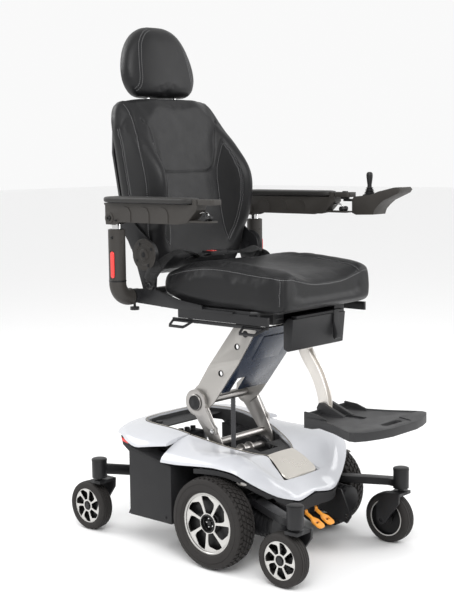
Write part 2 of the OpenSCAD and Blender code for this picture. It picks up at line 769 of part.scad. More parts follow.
module arm_tube() color(plastic) {
  difference() {
    translate([arm_x, arm_y, 818]) cylinder(r = 25.5, h = 160);
    translate([arm_x, arm_y, 830]) cylinder(r = 13.5 + fit, h = 160);
    // reflector seat
    translate([arm_x + 26, arm_y - 6, 874]) cube([4, 18, 82], center = true);
  }
  translate([arm_x - 45, arm_y, 818]) rotate([90, 0, 0]) rotate([0, 0, -90])
    rotate_extrude(angle = 90) translate([45, 0]) circle(r = 25.5);
  translate([arm_x - 48, arm_y, 773]) rod_x(25.5, 7);
  translate([arm_x - 76, arm_y, 773]) rod_x(13.5, 54);
  translate([arm_x, arm_y - 25, 944]) rod_y(4, 3);
}

module arm_tube_left() at_axle() arm_tube();

module arm_tube_right() at_axle() right() arm_tube();

module arm_reflectors() color(red) at_axle() both()
  translate([arm_x + 25.3, arm_y - 6, 874]) {
    cube([2, 15, 64], center = true);
    translate([0, 0, 32]) rod_x(7.5, 2);
    translate([0, 0, -32]) rod_x(7.5, 2);
  }

/* ---- armrests ---- */
module arm_post() color(steel) difference() {
  union() {
    translate([arm_x, arm_y, 850]) cylinder(r = 13.5, h = 150);
    translate([arm_x, arm_y + 8, 1012]) rod_x(16, 14);
    slab(arm_x - 7, arm_x + 7, arm_y - 10, arm_y + 18, 990, 1012);
  }
  translate([arm_x, arm_y + 8, 1012]) rod_x(6 + fit, 40);
  for (z = [870:20:930])
    translate([arm_x, arm_y, z]) rod_y(3.2, 60);
}

module arm_post_left() at_axle() arm_post();

module arm_post_right() at_axle() right() arm_post();

module arm_skirt() color([0.27, 0.26, 0.25]) {
  difference() {
    translate([arm_x, 0, 0]) side(40) polygon([
      [354, 1006], [354, 1050], [358, 1052], [358, 1057], [-16, 1057], [-16, 1042], [20, 1008],
      [60, 1001], [296, 1001], [306, 996], [318, 993], [352, 993]
    ]);
    // hollow underside
    translate([arm_x, 0, 0]) side(32) polygon([
      [400, 960], [400, 1031], [300, 1031], [290, 1051], [-8, 1051], [-8, 1040], [24, 1004], [60, 960]
    ]);
    translate([arm_x, arm_y + 8, 1012]) rod_x(5, 100);
  }
  // pivot pin and its boss
  translate([arm_x, arm_y + 8, 1012]) rod_x(6, 33);
  for (s = [-1, 1])
    translate([arm_x + s * 19.5, arm_y + 8, 1012]) difference() {
      rod_x(17, 6);
      rod_x(8, 16);
    }
  // embossed ribs
  for (y = [96, 172, 248])
    for (s = [-1, 1])
      translate([arm_x + s * 20.5, 0, 0]) side(3)
        polygon([[y - 3, 1003], [y - 3, 1030], [y + 6, 1044], [y + 24, 1048], [y + 24, 1044],
          [y + 9, 1040], [y + 2, 1028], [y + 2, 1003]]);
  // front bracket for a controller
  difference() {
    translate([arm_x, -47, 1057]) round_slab(44, 60, 15, 10);
    translate([arm_x, -47, 1050]) cylinder(r = 5 + fit, h = 30);
  }
  slab(arm_x - 20, arm_x + 20, -18, 0, 1050, 1072);
  slab(arm_x - 17, arm_x + 17, -62, 24, 1008, 1013);
}

module arm_skirt_left() at_axle() arm_skirt();

module arm_skirt_right() at_axle() right() arm_skirt();

module arm_pad() color(rubber) translate([arm_x + 4, 179, 1057.5]) round_slab(62, 357, 19, 20);

module arm_pad_left() at_axle() arm_pad();

module arm_pad_right() at_axle() right() arm_pad();

/* ---- backrest ---- */
module leaned() translate([0, hinge_y, hinge_z]) rotate([-lean, 0, 0]) children();

module back_frame() color(plastic) at_axle() difference() {
  union() {
    both() translate([231.5, 0, 0]) side(6) union() {
      translate([hinge_y, hinge_z]) circle(r = 44);
      polygon([[246, 918], [300, 862], [328, 890], [408, 990], [420, 1060], [394, 1060],
        [330, 985]]);
    }
    leaned() {
      // shell behind the cushion
      translate([0, 104, 30]) rotate([90, 0, 0]) linear_extrude(8)
        polygon([[-196, 0], [-214, 60], [-214, 300], [-196, 380], [-150, 412], [150, 412],
          [196, 380], [214, 300], [214, 60], [196, 0]]);
      both() {
        slab(205, 229, 95.5, 104, 100, 150);
        // post socket
        translate([60, 65, 330]) cylinder(r = 12, h = 134);
        slab(52, 68, 66, 98, 340, 420);
      }
    }
  }
  both() translate([231.5, hinge_y, hinge_z]) rod_x(8 + fit, 20);
  leaned() both() translate([60, 65, 320]) cylinder(r = 6 + fit, h = 180);
}

module back_cushion() color(cloth) at_axle() leaned() difference() {
  union() {
    // centre pad
    translate([0, 0, -56]) linear_extrude(518) {
      translate([-160, 3]) square([320, 92]);
      translate([-222, 30]) square([444, 65]);
    }
    translate([0, 15, 461]) rotate([90, 0, 0]) mirror([0, 0, 1]) linear_extrude(80)
      polygon([[-222, 0], [-214, 15], [-190, 27], [190, 27], [214, 15], [222, 0]]);
    // side bolsters
    both() translate([191, 0, 0]) side(70) polygon([
      [0, -20], [-26, 30], [-56, 95], [-88, 180], [-88, 240], [-44, 325], [0, 410], [20, 462],
      [60, 462], [60, -20]
    ]);
  }
  // room for the headrest sockets
  both() slab(46.5, 73.5, 51, 100, 322, 495);
}

module headrest_posts() color(silver) at_axle() leaned() {
  both() translate([60, 65, 345]) cylinder(r = 6, h = 190);
  slab(-60, 60, 59, 71, 531, 539);
}

module headrest_cushion() color(cloth) at_axle() leaned() difference() {
  translate([0, 65, 480]) rotate([90, 0, 0]) linear_extrude(96, center = true)
    polygon([[-112, 16], [-140, 26], [-150, 74], [-146, 140], [-122, 204], [-72, 242],
      [72, 242], [122, 204], [146, 140], [150, 74], [140, 26], [112, 16]]);
  // room for the posts
  both() translate([60, 65, 470]) cylinder(r = 6.2, h = 66);
  slab(-67, 67, 58.5, 71.5, 530, 540);
}

/* ---- joystick ---- */
module joystick_mount() color(steel) {
  at_axle() {
    // swing link pinned under the front bracket
    translate([arm_x, -47, 1050.5]) cylinder(r = 14, h = 6);
    slab(arm_x - 10, arm_x + 10, -90, -47, 1044, 1051);
    slab(arm_x - 16, arm_x + 16, -96, -86, 1012, 1051);
    translate([arm_x, -47, 1050]) cylinder(r = 5, h = 23);
    translate([arm_x, -47, 1072.3]) cylinder(r = 9, h = 3);
  }
}

module joystick_housing() color(plastic) at_axle() {
  difference() {
    translate([arm_x, 0, 0]) side(66) polygon([
      [-97, 1010], [-97, 1050], [-104, 1060], [-165, 1066], [-196, 1077], [-250, 1089], [-268, 1090],
      [-275, 1083], [-268, 1073], [-214, 1050], [-196, 1036], [-182, 1022], [-176, 1006], [-112, 1004]
    ]);
    // well for the stick
    translate([arm_x, -140, 1030]) cylinder(r = 20, h = 60);
    translate([arm_x, -140, 1046]) rod_x(4.05, 52);
  }
}

module joystick_gimbal() color(steel) at_axle() translate([arm_x, -140, 1046]) {
  difference() {
    cube([26, 20, 10], center = true);
    cube([16, 12, 20], center = true);
    rod_y(2 + fit, 40);
  }
  for (s = [-1, 1])
    translate([s * 18, 0, 0]) rod_x(4, 12);
}

module joystick_stick() color(plastic) at_axle() translate([arm_x, -140, 1046]) {
  rod_y(2, 18);
  sphere(r = 5);
  cylinder(r = 3.5, h = 50);
  // ribbed boot
  translate([0, 0, 30]) cylinder(r1 = 13, r2 = 9, h = 4);
  for (k = [0:2])
    translate([0, 0, 34 + 7 * k]) cylinder(r1 = 18 - 1.5 * k, r2 = 8, h = 6);
  translate([0, 0, 12]) cylinder(r = 7, h = 44);
  translate([0, 0, 54]) cylinder(r1 = 7, r2 = 8, h = 10);
  translate([0, 0, 60]) cylinder(r1 = 8, r2 = 10, h = 22);
  translate([0, 0, 82]) cylinder(r1 = 10, r2 = 7, h = 6);
}

/* ---- lap belt ---- */
belt_top = [
  [0, 4], [48, 3], [120, 8], [190, 12], [232, 6], [243, -2], [246, -20], [246, -68]
];

module lap_belt() color(rubber) at_axle() {
  both() {
    translate([0, 230, seat_z + seat_h]) rotate([90, 0, 0]) linear_extrude(40)
      polygon(concat(belt_top, [for (i = [len(belt_top) - 1:-1:0])
        [belt_top[i][0] - (i > 4 ? 3 : 0), belt_top[i][1] - (i > 4 ? 1 : 3)]]));
    // anchor tab bolted to the hinge bracket
    translate([244.3, 0, 0]) side(5) polygon([[188, 812], [188, 826], [232, 826], [272, 816],
      [272, 798], [252, 798]]);
    translate([248, 262, 807]) rod_x(9, 6);
  }
  // buckle
  difference() {
    translate([-14, 210, seat_z + seat_h + 1]) round_slab(74, 46, 13, 7);
    translate([-28, 210, seat_z + seat_h + 13]) cube([20.4, 24.4, 20], center = true);
  }
  translate([50, 210, seat_z + seat_h + 2]) round_slab(50, 42, 7, 6);
}

module belt_button() color(red) at_axle()
  translate([-38, 198, seat_z + seat_h + 7]) cube([20, 24, 8.5]);

base_frame();
rear_caster_beam();
shroud_front();
shroud_rear();
front_panel();
lower_trim();
ramp_cover();
battery_box_right();
battery_box_left();
gearmotors();
tail_lights();
conduit();
front_arm_right();
front_arm_left();
freewheel_lever_right();
freewheel_lever_left();
drive_tyre_right();
drive_tyre_left();
drive_rim_right();
drive_rim_left();
front_fork_right();
front_fork_left();
rear_fork_right();
rear_fork_left();
front_caster_right();
front_caster_left();
rear_caster_right();
rear_caster_left();
lift_link();
link_covers();
lift_arm();
lift_arm_cover();
actuator_body();
actuator_rod();
seat_base();
front_box();
foot_hanger();
foot_platform();
seat_pan();
seat_cushion();
release_lever();
arm_tube_right();
arm_tube_left();
arm_reflectors();
arm_post_right();
arm_post_left();
arm_skirt_right();
arm_skirt_left();
arm_pad_right();
arm_pad_left();
back_frame();
back_cushion();
headrest_posts();
headrest_cushion();
joystick_mount();
joystick_housing();
joystick_gimbal();
joystick_stick();
lap_belt();
belt_button();
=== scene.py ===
"""Looks of the power wheelchair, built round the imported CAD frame."""

import json
import math

import bmesh
import bpy
from mathutils import Matrix, Vector
from mathutils.bvhtree import BVHTree
from mathutils.kdtree import KDTree


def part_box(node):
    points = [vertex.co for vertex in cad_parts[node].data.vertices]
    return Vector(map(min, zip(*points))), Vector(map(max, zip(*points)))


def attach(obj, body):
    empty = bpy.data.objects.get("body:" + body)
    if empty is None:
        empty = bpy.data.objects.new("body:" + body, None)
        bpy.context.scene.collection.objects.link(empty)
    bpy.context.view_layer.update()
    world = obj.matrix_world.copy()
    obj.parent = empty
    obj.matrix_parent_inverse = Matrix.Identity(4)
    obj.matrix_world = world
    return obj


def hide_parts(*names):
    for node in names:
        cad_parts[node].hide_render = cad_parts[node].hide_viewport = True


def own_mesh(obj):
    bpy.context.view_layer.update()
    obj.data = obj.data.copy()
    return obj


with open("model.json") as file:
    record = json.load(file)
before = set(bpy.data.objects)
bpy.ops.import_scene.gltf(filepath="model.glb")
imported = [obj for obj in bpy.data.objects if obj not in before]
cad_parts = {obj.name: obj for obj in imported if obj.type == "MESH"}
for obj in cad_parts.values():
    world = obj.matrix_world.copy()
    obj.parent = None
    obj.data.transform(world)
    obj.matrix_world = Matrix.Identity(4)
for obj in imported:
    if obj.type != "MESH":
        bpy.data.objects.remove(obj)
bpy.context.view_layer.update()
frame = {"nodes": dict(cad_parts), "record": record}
nodes = frame["nodes"]
scene = bpy.context.scene

AXLE_Y = -0.075          # drive axle along the length
SIDES = (("right", -1), ("left", 1))
HINGE = Vector((0, 0.210, 0.899))   # backrest hinge
LEAN = math.radians(11)


def mm(x, y, z):
    """A point given in millimetres from the drive axle, in the row frame."""
    return Vector((x / 1000, y / 1000 + AXLE_Y, z / 1000))


def leaned(x, y, z):
    """A point in millimetres on the leaning backrest, measured from its hinge."""
    c, s = math.cos(LEAN), math.sin(LEAN)
    y, z = y / 1000, z / 1000
    return HINGE + Vector((x / 1000, y * c + z * s, -y * s + z * c))


# ---------------------------------------------------------------- camera, light and stage
def make_camera():
    yaw, pitch, roll = math.radians(48.43), math.radians(-6.88), math.radians(0.70)
    forward = Vector((math.sin(yaw) * math.cos(pitch), math.cos(yaw) * math.cos(pitch), math.sin(pitch)))
    level = Vector((math.cos(yaw), -math.sin(yaw), 0))
    above = level.cross(forward)
    right = level * math.cos(roll) - above * math.sin(roll)
    up = right.cross(forward)
    data = bpy.data.cameras.new("camera")
    data.lens = 73.8
    data.sensor_width = 36
    data.shift_x = -0.0067
    data.clip_end = 60
    data.dof.use_dof = False
    camera = bpy.data.objects.new("camera", data)
    scene.collection.objects.link(camera)
    turn = Matrix((right, up, -forward)).transposed().to_4x4()
    camera.matrix_world = Matrix.Translation((-2.8093, -2.4091, 1.2051)) @ turn
    scene.camera = camera


def area_light(name, place, target, size, power):
    data = bpy.data.lights.new(name, "AREA")
    data.shape = "RECTANGLE"
    data.size, data.size_y = size
    data.energy = power
    light = bpy.data.objects.new(name, data)
    light.location = place
    light.rotation_euler = (Vector(target) - Vector(place)).to_track_quat("-Z", "Y").to_euler()
    scene.collection.objects.link(light)


def make_stage():
    world = bpy.data.worlds.new("studio")
    scene.world = world
    scene.view_settings.view_transform = "Standard"
    world.use_nodes = True
    shade = world.node_tree.nodes["Background"]
    shade.inputs["Color"].default_value = (1, 1, 1, 1)
    shade.inputs["Strength"].default_value = 0.95
    area_light("key", (-2.6, -2.2, 3.6), (0, 0, 0.7), (2.4, 2.4), 120)
    area_light("side", (2.8, -2.6, 2.2), (0, 0, 0.8), (1.6, 2.2), 45)
    area_light("back", (-1.2, 3.0, 2.8), (0, 0, 0.9), (2.2, 1.6), 55)
    bpy.ops.mesh.primitive_plane_add(size=60, location=(0, 0, 0))
    floor = bpy.context.object
    floor.name = "floor"
    paint(floor, "floor", (0.93, 0.93, 0.93), 0.8, mottle=0.005, shine=0.1)


# ---------------------------------------------------------------- materials
made = {}


def shader(name):
    mat = bpy.data.materials.new(name)
    mat.use_nodes = True
    tree = mat.node_tree
    return mat, tree, tree.nodes["Principled BSDF"]


def node(tree, kind, **inputs):
    made_node = tree.nodes.new(kind)
    for key, value in inputs.items():
        made_node.inputs[key].default_value = value
    return made_node


def two_tone(tree, fac, dark, light):
    mix = tree.nodes.new("ShaderNodeMix")
    mix.data_type = "RGBA"
    mix.inputs["A"].default_value = (*dark, 1)
    mix.inputs["B"].default_value = (*light, 1)
    tree.links.new(fac, mix.inputs["Factor"])
    return mix.outputs["Result"]


def remap(tree, value, low, high):
    scale = node(tree, "ShaderNodeMapRange")
    scale.inputs["To Min"].default_value = low
    scale.inputs["To Max"].default_value = high
    tree.links.new(value, scale.inputs["Value"])
    return scale.outputs["Result"]


def bump(tree, bsdf, height, strength, depth):
    relief = node(tree, "ShaderNodeBump")
    relief.inputs["Strength"].default_value = strength
    relief.inputs["Distance"].default_value = depth
    tree.links.new(height, relief.inputs["Height"])
    if bsdf.inputs["Normal"].is_linked:
        tree.links.new(bsdf.inputs["Normal"].links[0].from_socket, relief.inputs["Normal"])
    tree.links.new(relief.outputs["Normal"], bsdf.inputs["Normal"])


def coords(tree, stretch=(1, 1, 1)):
    where = tree.nodes.new("ShaderNodeTexCoord")
    if stretch == (1, 1, 1):
        return where.outputs["Object"]
    mapping = tree.nodes.new("ShaderNodeMapping")
    mapping.inputs["Scale"].default_value = stretch
    tree.links.new(where.outputs["Object"], mapping.inputs["Vector"])
    return mapping.outputs["Vector"]


def noise(tree, place, scale, detail=3):
    texture = node(tree, "ShaderNodeTexNoise", Scale=scale, Detail=detail)
    tree.links.new(place, texture.inputs["Vector"])
    return texture.outputs["Fac"]


def finish_of(name, colour, rough, metal=0.0, coat=0.0, mottle=0.08, mottle_scale=9, spread=0.08,
              grain=None, brushed=None, weave=None, sheen=0.0, shine=0.5):
    """A procedural finish: mottled colour and gloss, with a moulded grain, a brushed lay or a weave."""
    if name in made:
        return made[name]
    mat, tree, bsdf = shader(name)
    place = coords(tree)
    cloud = noise(tree, place, mottle_scale, 4)
    dark = tuple(c * (1 - mottle) for c in colour)
    light = tuple(min(1, c * (1 + mottle)) for c in colour)
    tree.links.new(two_tone(tree, cloud, dark, light), bsdf.inputs["Base Color"])
    tree.links.new(remap(tree, noise(tree, place, mottle_scale * 3), max(0.03, rough - spread), rough + spread),
                   bsdf.inputs["Roughness"])
    bsdf.inputs["Metallic"].default_value = metal
    bsdf.inputs["Coat Weight"].default_value = coat
    bsdf.inputs["Coat Roughness"].default_value = 0.08
    bsdf.inputs["Sheen Weight"].default_value = sheen
    bsdf.inputs["Specular IOR Level"].default_value = shine
    if grain:
        scale, strength = grain
        cell = node(tree, "ShaderNodeTexVoronoi", Scale=scale)
        tree.links.new(place, cell.inputs["Vector"])
        bump(tree, bsdf, cell.outputs["Distance"], strength, 0.0004)
    if brushed:
        lay, strength = brushed
        bump(tree, bsdf, noise(tree, coords(tree, lay), 60, 5), strength, 0.0003)
    if weave:
        scale, strength = weave
        for axis in ("X", "Z"):
            band = node(tree, "ShaderNodeTexWave", Scale=scale)
            band.bands_direction = axis
            tree.links.new(place, band.inputs["Vector"])
            bump(tree, bsdf, band.outputs["Fac"], strength, 0.0005)
    made[name] = mat
    return mat


def paint(obj, name, *args, **kwargs):
    obj.data.materials.clear()
    obj.data.materials.append(finish_of(name, *args, **kwargs))


LOOKS = {
    "powder": dict(colour=(0.010, 0.010, 0.011), rough=0.42, grain=(900, 0.25), mottle=0.15, shine=0.34),
    "pearl": dict(colour=(0.55, 0.56, 0.59), rough=0.22, coat=0.6, mottle=0.015, spread=0.03, shine=0.4),
    "warm_silver": dict(colour=(0.62, 0.59, 0.54), rough=0.30, metal=0.75, coat=0.3, mottle=0.03,
                        brushed=((1, 30, 30), 0.05)),
    "grained": dict(colour=(0.014, 0.014, 0.015), rough=0.50, grain=(1300, 0.35), mottle=0.12, shine=0.30),
    "battery": dict(colour=(0.016, 0.016, 0.017), rough=0.52, grain=(700, 0.45), mottle=0.10, shine=0.30),
    "red_lens": dict(colour=(0.80, 0.035, 0.03), rough=0.18, coat=0.6, grain=(420, 0.5), mottle=0.06),
    "hose": dict(colour=(0.055, 0.055, 0.058), rough=0.55, mottle=0.12, shine=0.34),
    "orange": dict(colour=(0.90, 0.36, 0.04), rough=0.35, coat=0.2, mottle=0.05),
    "tyre": dict(colour=(0.020, 0.018, 0.017), rough=0.66, grain=(600, 0.3), mottle=0.18, shine=0.30),
    "rim": dict(colour=(0.56, 0.55, 0.53), rough=0.30, metal=0.5, coat=0.1, mottle=0.03, spread=0.04),
    "brushed": dict(colour=(0.40, 0.385, 0.37), rough=0.32, metal=0.9, mottle=0.06,
                    brushed=((12, 1, 1), 0.25)),
    "satin": dict(colour=(0.40, 0.385, 0.365), rough=0.38, metal=0.55, mottle=0.05, brushed=((1, 1, 14), 0.08)),
    "blue_black": dict(colour=(0.012, 0.020, 0.040), rough=0.28, metal=0.2, coat=0.25, mottle=0.10, shine=0.34),
    "chrome": dict(colour=(0.62, 0.62, 0.62), rough=0.14, metal=1.0, mottle=0.03, spread=0.04),
    "hanger": dict(colour=(0.68, 0.65, 0.61), rough=0.33, metal=0.65, mottle=0.04, brushed=((1, 1, 10), 0.08)),
    "step": dict(colour=(0.022, 0.022, 0.023), rough=0.48, grain=(520, 0.45), mottle=0.10, shine=0.34),
    "vinyl": dict(colour=(0.008, 0.008, 0.0087), rough=0.42, grain=(1100, 0.30), mottle=0.14, sheen=0.01, shine=0.26),
    "mesh_cloth": dict(colour=(0.007, 0.007, 0.0075), rough=0.60, weave=(170, 0.55), mottle=0.12, sheen=0.04,
                       shine=0.22),
    "thread": dict(colour=(0.20, 0.20, 0.205), rough=0.55, mottle=0.15, mottle_scale=90),
    "armrest": dict(colour=(0.032, 0.029, 0.026), rough=0.50, grain=(1000, 0.40), mottle=0.10, shine=0.34),
    "pad": dict(colour=(0.018, 0.017, 0.016), rough=0.50, grain=(800, 0.35), mottle=0.12, sheen=0.02, shine=0.34),
    "stick": dict(colour=(0.009, 0.009, 0.0095), rough=0.44, grain=(900, 0.2), mottle=0.10, shine=0.34),
    "webbing": dict(colour=(0.008, 0.008, 0.0085), rough=0.60, weave=(260, 0.7), mottle=0.15, sheen=0.04, shine=0.30),
    "dark": dict(colour=(0.006, 0.006, 0.0065), rough=0.40, mottle=0.15, shine=0.30),
    "rim_line": dict(colour=(0.46, 0.42, 0.35), rough=0.35, mottle=0.06),
}

LOOK_OF_SLOT = {
    "frame_black": "powder", "shell_white": "pearl", "panel_silver": "warm_silver",
    "plastic_dark": "grained", "battery_plastic": "battery", "lens_red": "red_lens",
    "conduit_grey": "hose", "lever_orange": "orange", "drive_tread": "tyre", "rim_silver": "rim",
    "caster_wheel": "rim", "link_steel": "brushed", "lift_silver": "satin",
    "arm_front_blue": "blue_black", "bright_steel": "chrome", "hanger_silver": "hanger",
    "step_plastic": "step", "cushion_cloth": "vinyl", "armrest_plastic": "armrest",
    "armpad_foam": "pad", "stick_black": "stick", "webbing": "webbing",
}


def look(obj, name):
    paint(obj, name, **LOOKS[name])


# ---------------------------------------------------------------- mesh helpers
def new_mesh(name, verts, faces, smooth=True):
    data = bpy.data.meshes.new(name)
    data.from_pydata([tuple(v) for v in verts], [], faces)
    data.update()
    mesh = bmesh.new()
    mesh.from_mesh(data)
    bmesh.ops.recalc_face_normals(mesh, faces=mesh.faces)
    mesh.to_mesh(data)
    mesh.free()
    for face in data.polygons:
        face.use_smooth = smooth
    obj = bpy.data.objects.new(name, data)
    scene.collection.objects.link(obj)
    return obj


def crisp(obj, angle=32):
    """Smooth shading with hard edges kept."""
    for face in obj.data.polygons:
        face.use_smooth = True
    split = obj.modifiers.new("edges", "EDGE_SPLIT")
    split.split_angle = math.radians(angle)


def soften(obj, width=0.0008, angle=40, segments=2):
    """Rounds the sharp edges of a CAD node, which catches the light as a real edge does."""
    weld = obj.modifiers.new("weld", "WELD")
    weld.merge_threshold = 0.00002
    edge = obj.modifiers.new("edge", "BEVEL")
    edge.width = width
    edge.segments = segments
    edge.limit_method = "ANGLE"
    edge.angle_limit = math.radians(angle)
    edge.harden_normals = False
    crisp(obj, 38)


def spline(points, steps):
    """A smooth curve through points."""
    out = []
    last = len(points) - 1
    for i in range(last):
        a, b = points[max(i - 1, 0)], points[i]
        c, d = points[i + 1], points[min(i + 2, last)]
        for k in range(steps):
            t = k / steps
            out.append(0.5 * ((2 * b) + (c - a) * t + (2 * a - 5 * b + 4 * c - d) * t * t
                              + (3 * b - a - 3 * c + d) * t ** 3))
    out.append(points[-1])
    return out


def blendline(table, x):
    """Smooth value of a table of (x, y) at x, which passes through every entry."""
    x = max(table[0][0], min(table[-1][0], x))
    last = len(table) - 1
    i = next(k for k in range(last) if x <= table[k + 1][0])
    slopes = []
    for k in (i, i + 1):
        (x0, y0), (x1, y1) = table[max(k - 1, 0)], table[min(k + 1, last)]
        slopes.append((y1 - y0) / (x1 - x0))
    (x0, y0), (x1, y1) = table[i], table[i + 1]
    h = x1 - x0
    t = (x - x0) / h
    return (y0 * (1 + 2 * t) * (1 - t) ** 2 + slopes[0] * h * t * (1 - t) ** 2
            + y1 * t * t * (3 - 2 * t) + slopes[1] * h * t * t * (t - 1))


def loft(name, rows, smooth=True):
    """A closed skin over rows of points, capped at both ends."""
    n, verts, faces = len(rows[0]), [p for row in rows for p in row], []
    for i in range(len(rows) - 1):
        for j in range(n):
            k = (j + 1) % n
            faces.append((i * n + j, i * n + k, (i + 1) * n + k, (i + 1) * n + j))
    faces.append(tuple(range(n - 1, -1, -1)))
    faces.append(tuple((len(rows) - 1) * n + j for j in range(n)))
    return new_mesh(name, verts, faces, smooth)


def lathe(name, profile, centre, sign, steps=72, closed=False):
    """A turned piece about X: profile holds (outward distance, radius) pairs in millimetres."""
    verts, faces, n = [], [], len(profile)
    for i in range(steps):
        a = 2 * math.pi * i / steps
        for x, r in profile:
            verts.append(centre + Vector((sign * x, r * math.cos(a), r * math.sin(a))) / 1000)
    for i in range(steps):
        k = (i + 1) % steps
        for j in range(n if closed else n - 1):
            m = (j + 1) % n
            faces.append((i * n + j, k * n + j, k * n + m, i * n + m))
    obj = new_mesh(name, verts, faces)
    weld = bmesh.new()
    weld.from_mesh(obj.data)
    bmesh.ops.remove_doubles(weld, verts=weld.verts, dist=1e-6)
    bmesh.ops.recalc_face_normals(weld, faces=weld.faces)
    weld.to_mesh(obj.data)
    weld.free()
    crisp(obj, 30)
    return obj


def tube(name, points, radius, sides=10, taper=None):
    """A round tube through points, in metres."""
    verts, faces = [], []
    up = Vector((0.13, 0.21, 0.97)).normalized()
    for i, p in enumerate(points):
        along = (points[min(i + 1, len(points) - 1)] - points[max(i - 1, 0)]).normalized()
        across = along.cross(up)
        if across.length < 0.1:
            across = along.cross(Vector((1, 0, 0)))
        across.normalize()
        up = across.cross(along)
        r = radius * (taper(i / (len(points) - 1)) if taper else 1)
        for k in range(sides):
            a = 2 * math.pi * k / sides
            verts.append(p + (across * math.cos(a) + up * math.sin(a)) * r)
    for i in range(len(points) - 1):
        for k in range(sides):
            m = (k + 1) % sides
            faces.append((i * sides + k, i * sides + m, (i + 1) * sides + m, (i + 1) * sides + k))
    faces.append(tuple(range(sides - 1, -1, -1)))
    faces.append(tuple((len(points) - 1) * sides + k for k in range(sides)))
    return new_mesh(name, verts, faces)


def copy_node(name, source, keep=None):
    """A new piece with the shape of a CAD node, whose vertices keep() accepts."""
    data = nodes[source].data.copy()
    data.name = name
    obj = bpy.data.objects.new(name, data)
    scene.collection.objects.link(obj)
    mesh = bmesh.new()
    mesh.from_mesh(data)
    bmesh.ops.remove_doubles(mesh, verts=mesh.verts, dist=0.00002)
    if keep:
        gone = [f for f in mesh.faces if not keep(f.calc_center_median())]
        bmesh.ops.delete(mesh, geom=gone, context="FACES")
    bmesh.ops.recalc_face_normals(mesh, faces=mesh.faces)
    mesh.to_mesh(data)
    mesh.free()
    if data.has_custom_normals:
        bpy.context.view_layer.objects.active = obj
        obj.select_set(True)
        bpy.ops.mesh.customdata_custom_splitnormals_clear()
        obj.select_set(False)
    return obj


def place(obj, body, look_name=None, slot=None, replaces=()):
    if look_name:
        look(obj, look_name)
    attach(obj, body)
    if replaces:
        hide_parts(*replaces)
    return obj


# ---------------------------------------------------------------- wheels
TREAD_ROWS = ((-27.5, 13, 0.5), (-13.5, 10, 0.0), (0, 10, 0.5), (13.5, 10, 0.0), (27.5, 13, 0.5))
TREAD_BLOCKS = 46


def tyre_crown(x):
    return 136.3 - 0.0058 * x * x


def tread(name, centre, sign):
    """Rows of skewed rubber blocks round the tyre."""
    verts, faces = [], []
    for x0, width, phase in TREAD_ROWS:
        for i in range(TREAD_BLOCKS):
            start = len(verts)
            for level in (131.0, None):
                for u, v in ((-1, -1), (1, -1), (1, 1), (-1, 1)):
                    x = x0 + u * width / 2
                    skew = 0.16 * u * (1 if abs(x0) > 20 else -1)
                    half = 0.37 if abs(x0) < 20 else 0.34
                    a = (i + phase + v * half + skew) * 2 * math.pi / TREAD_BLOCKS
                    r = (level or tyre_crown(x)) - (0.0058 * x * x if level else 0)
                    verts.append(centre + Vector((sign * x, r * math.cos(a), r * math.sin(a))) / 1000)
            s = start
            faces += [(s + 4, s + 5, s + 6, s + 7), (s, s + 1, s + 5, s + 4), (s + 1, s + 2, s + 6, s + 5),
                      (s + 2, s + 3, s + 7, s + 6), (s + 3, s, s + 4, s + 7), (s + 3, s + 2, s + 1, s)]
    obj = new_mesh(name, verts, faces, smooth=False)
    edge = obj.modifiers.new("edge", "BEVEL")
    edge.width = 0.0007
    edge.segments = 1
    return obj


WINDOW = ((0.36, 5.5), (0.50, 4), (0.66, 3), (0.82, 2.8), (0.925, 3), (0.95, 5), (0.952, 14), (0.935, 22),
          (0.80, 41), (0.74, 44.5), (0.62, 46.5), (0.36, 45))


def wheel_face(name, centre, sign, hub, rim, depth, turn):
    """The spoked face of a wheel: a plate with seven swept windows, cut with bevelled edges."""
    data = bpy.data.curves.new(name, "CURVE")
    data.dimensions = "2D"
    data.fill_mode = "BOTH"
    data.extrude = 0.0009
    data.bevel_depth = 0.0005
    loops = [[(radius, 5 * i) for i in range(72)] for radius in (rim, hub)]
    loops += [[(rim * k, turn + a + i * 360 / 7) for k, a in WINDOW] for i in range(7)]
    for loop in loops:
        line = data.splines.new("POLY")
        line.points.add(len(loop) - 1)
        line.use_cyclic_u = True
        for point, (radius, a) in zip(line.points, loop):
            a = math.radians(a)
            point.co = (radius * math.sin(a) / 1000, radius * math.cos(a) / 1000, 0, 1)
    curve = bpy.data.objects.new(name, data)
    scene.collection.objects.link(curve)
    graph = bpy.context.evaluated_depsgraph_get()
    flat = bpy.data.meshes.new_from_object(curve.evaluated_get(graph))
    verts = [centre + Vector((sign * (depth / 1000 + v.co.z), -v.co.x, v.co.y)) for v in flat.vertices]
    faces = [tuple(f.vertices) for f in flat.polygons]
    bpy.data.objects.remove(curve)
    obj = new_mesh(name, verts, faces)
    crisp(obj, 25)
    return obj


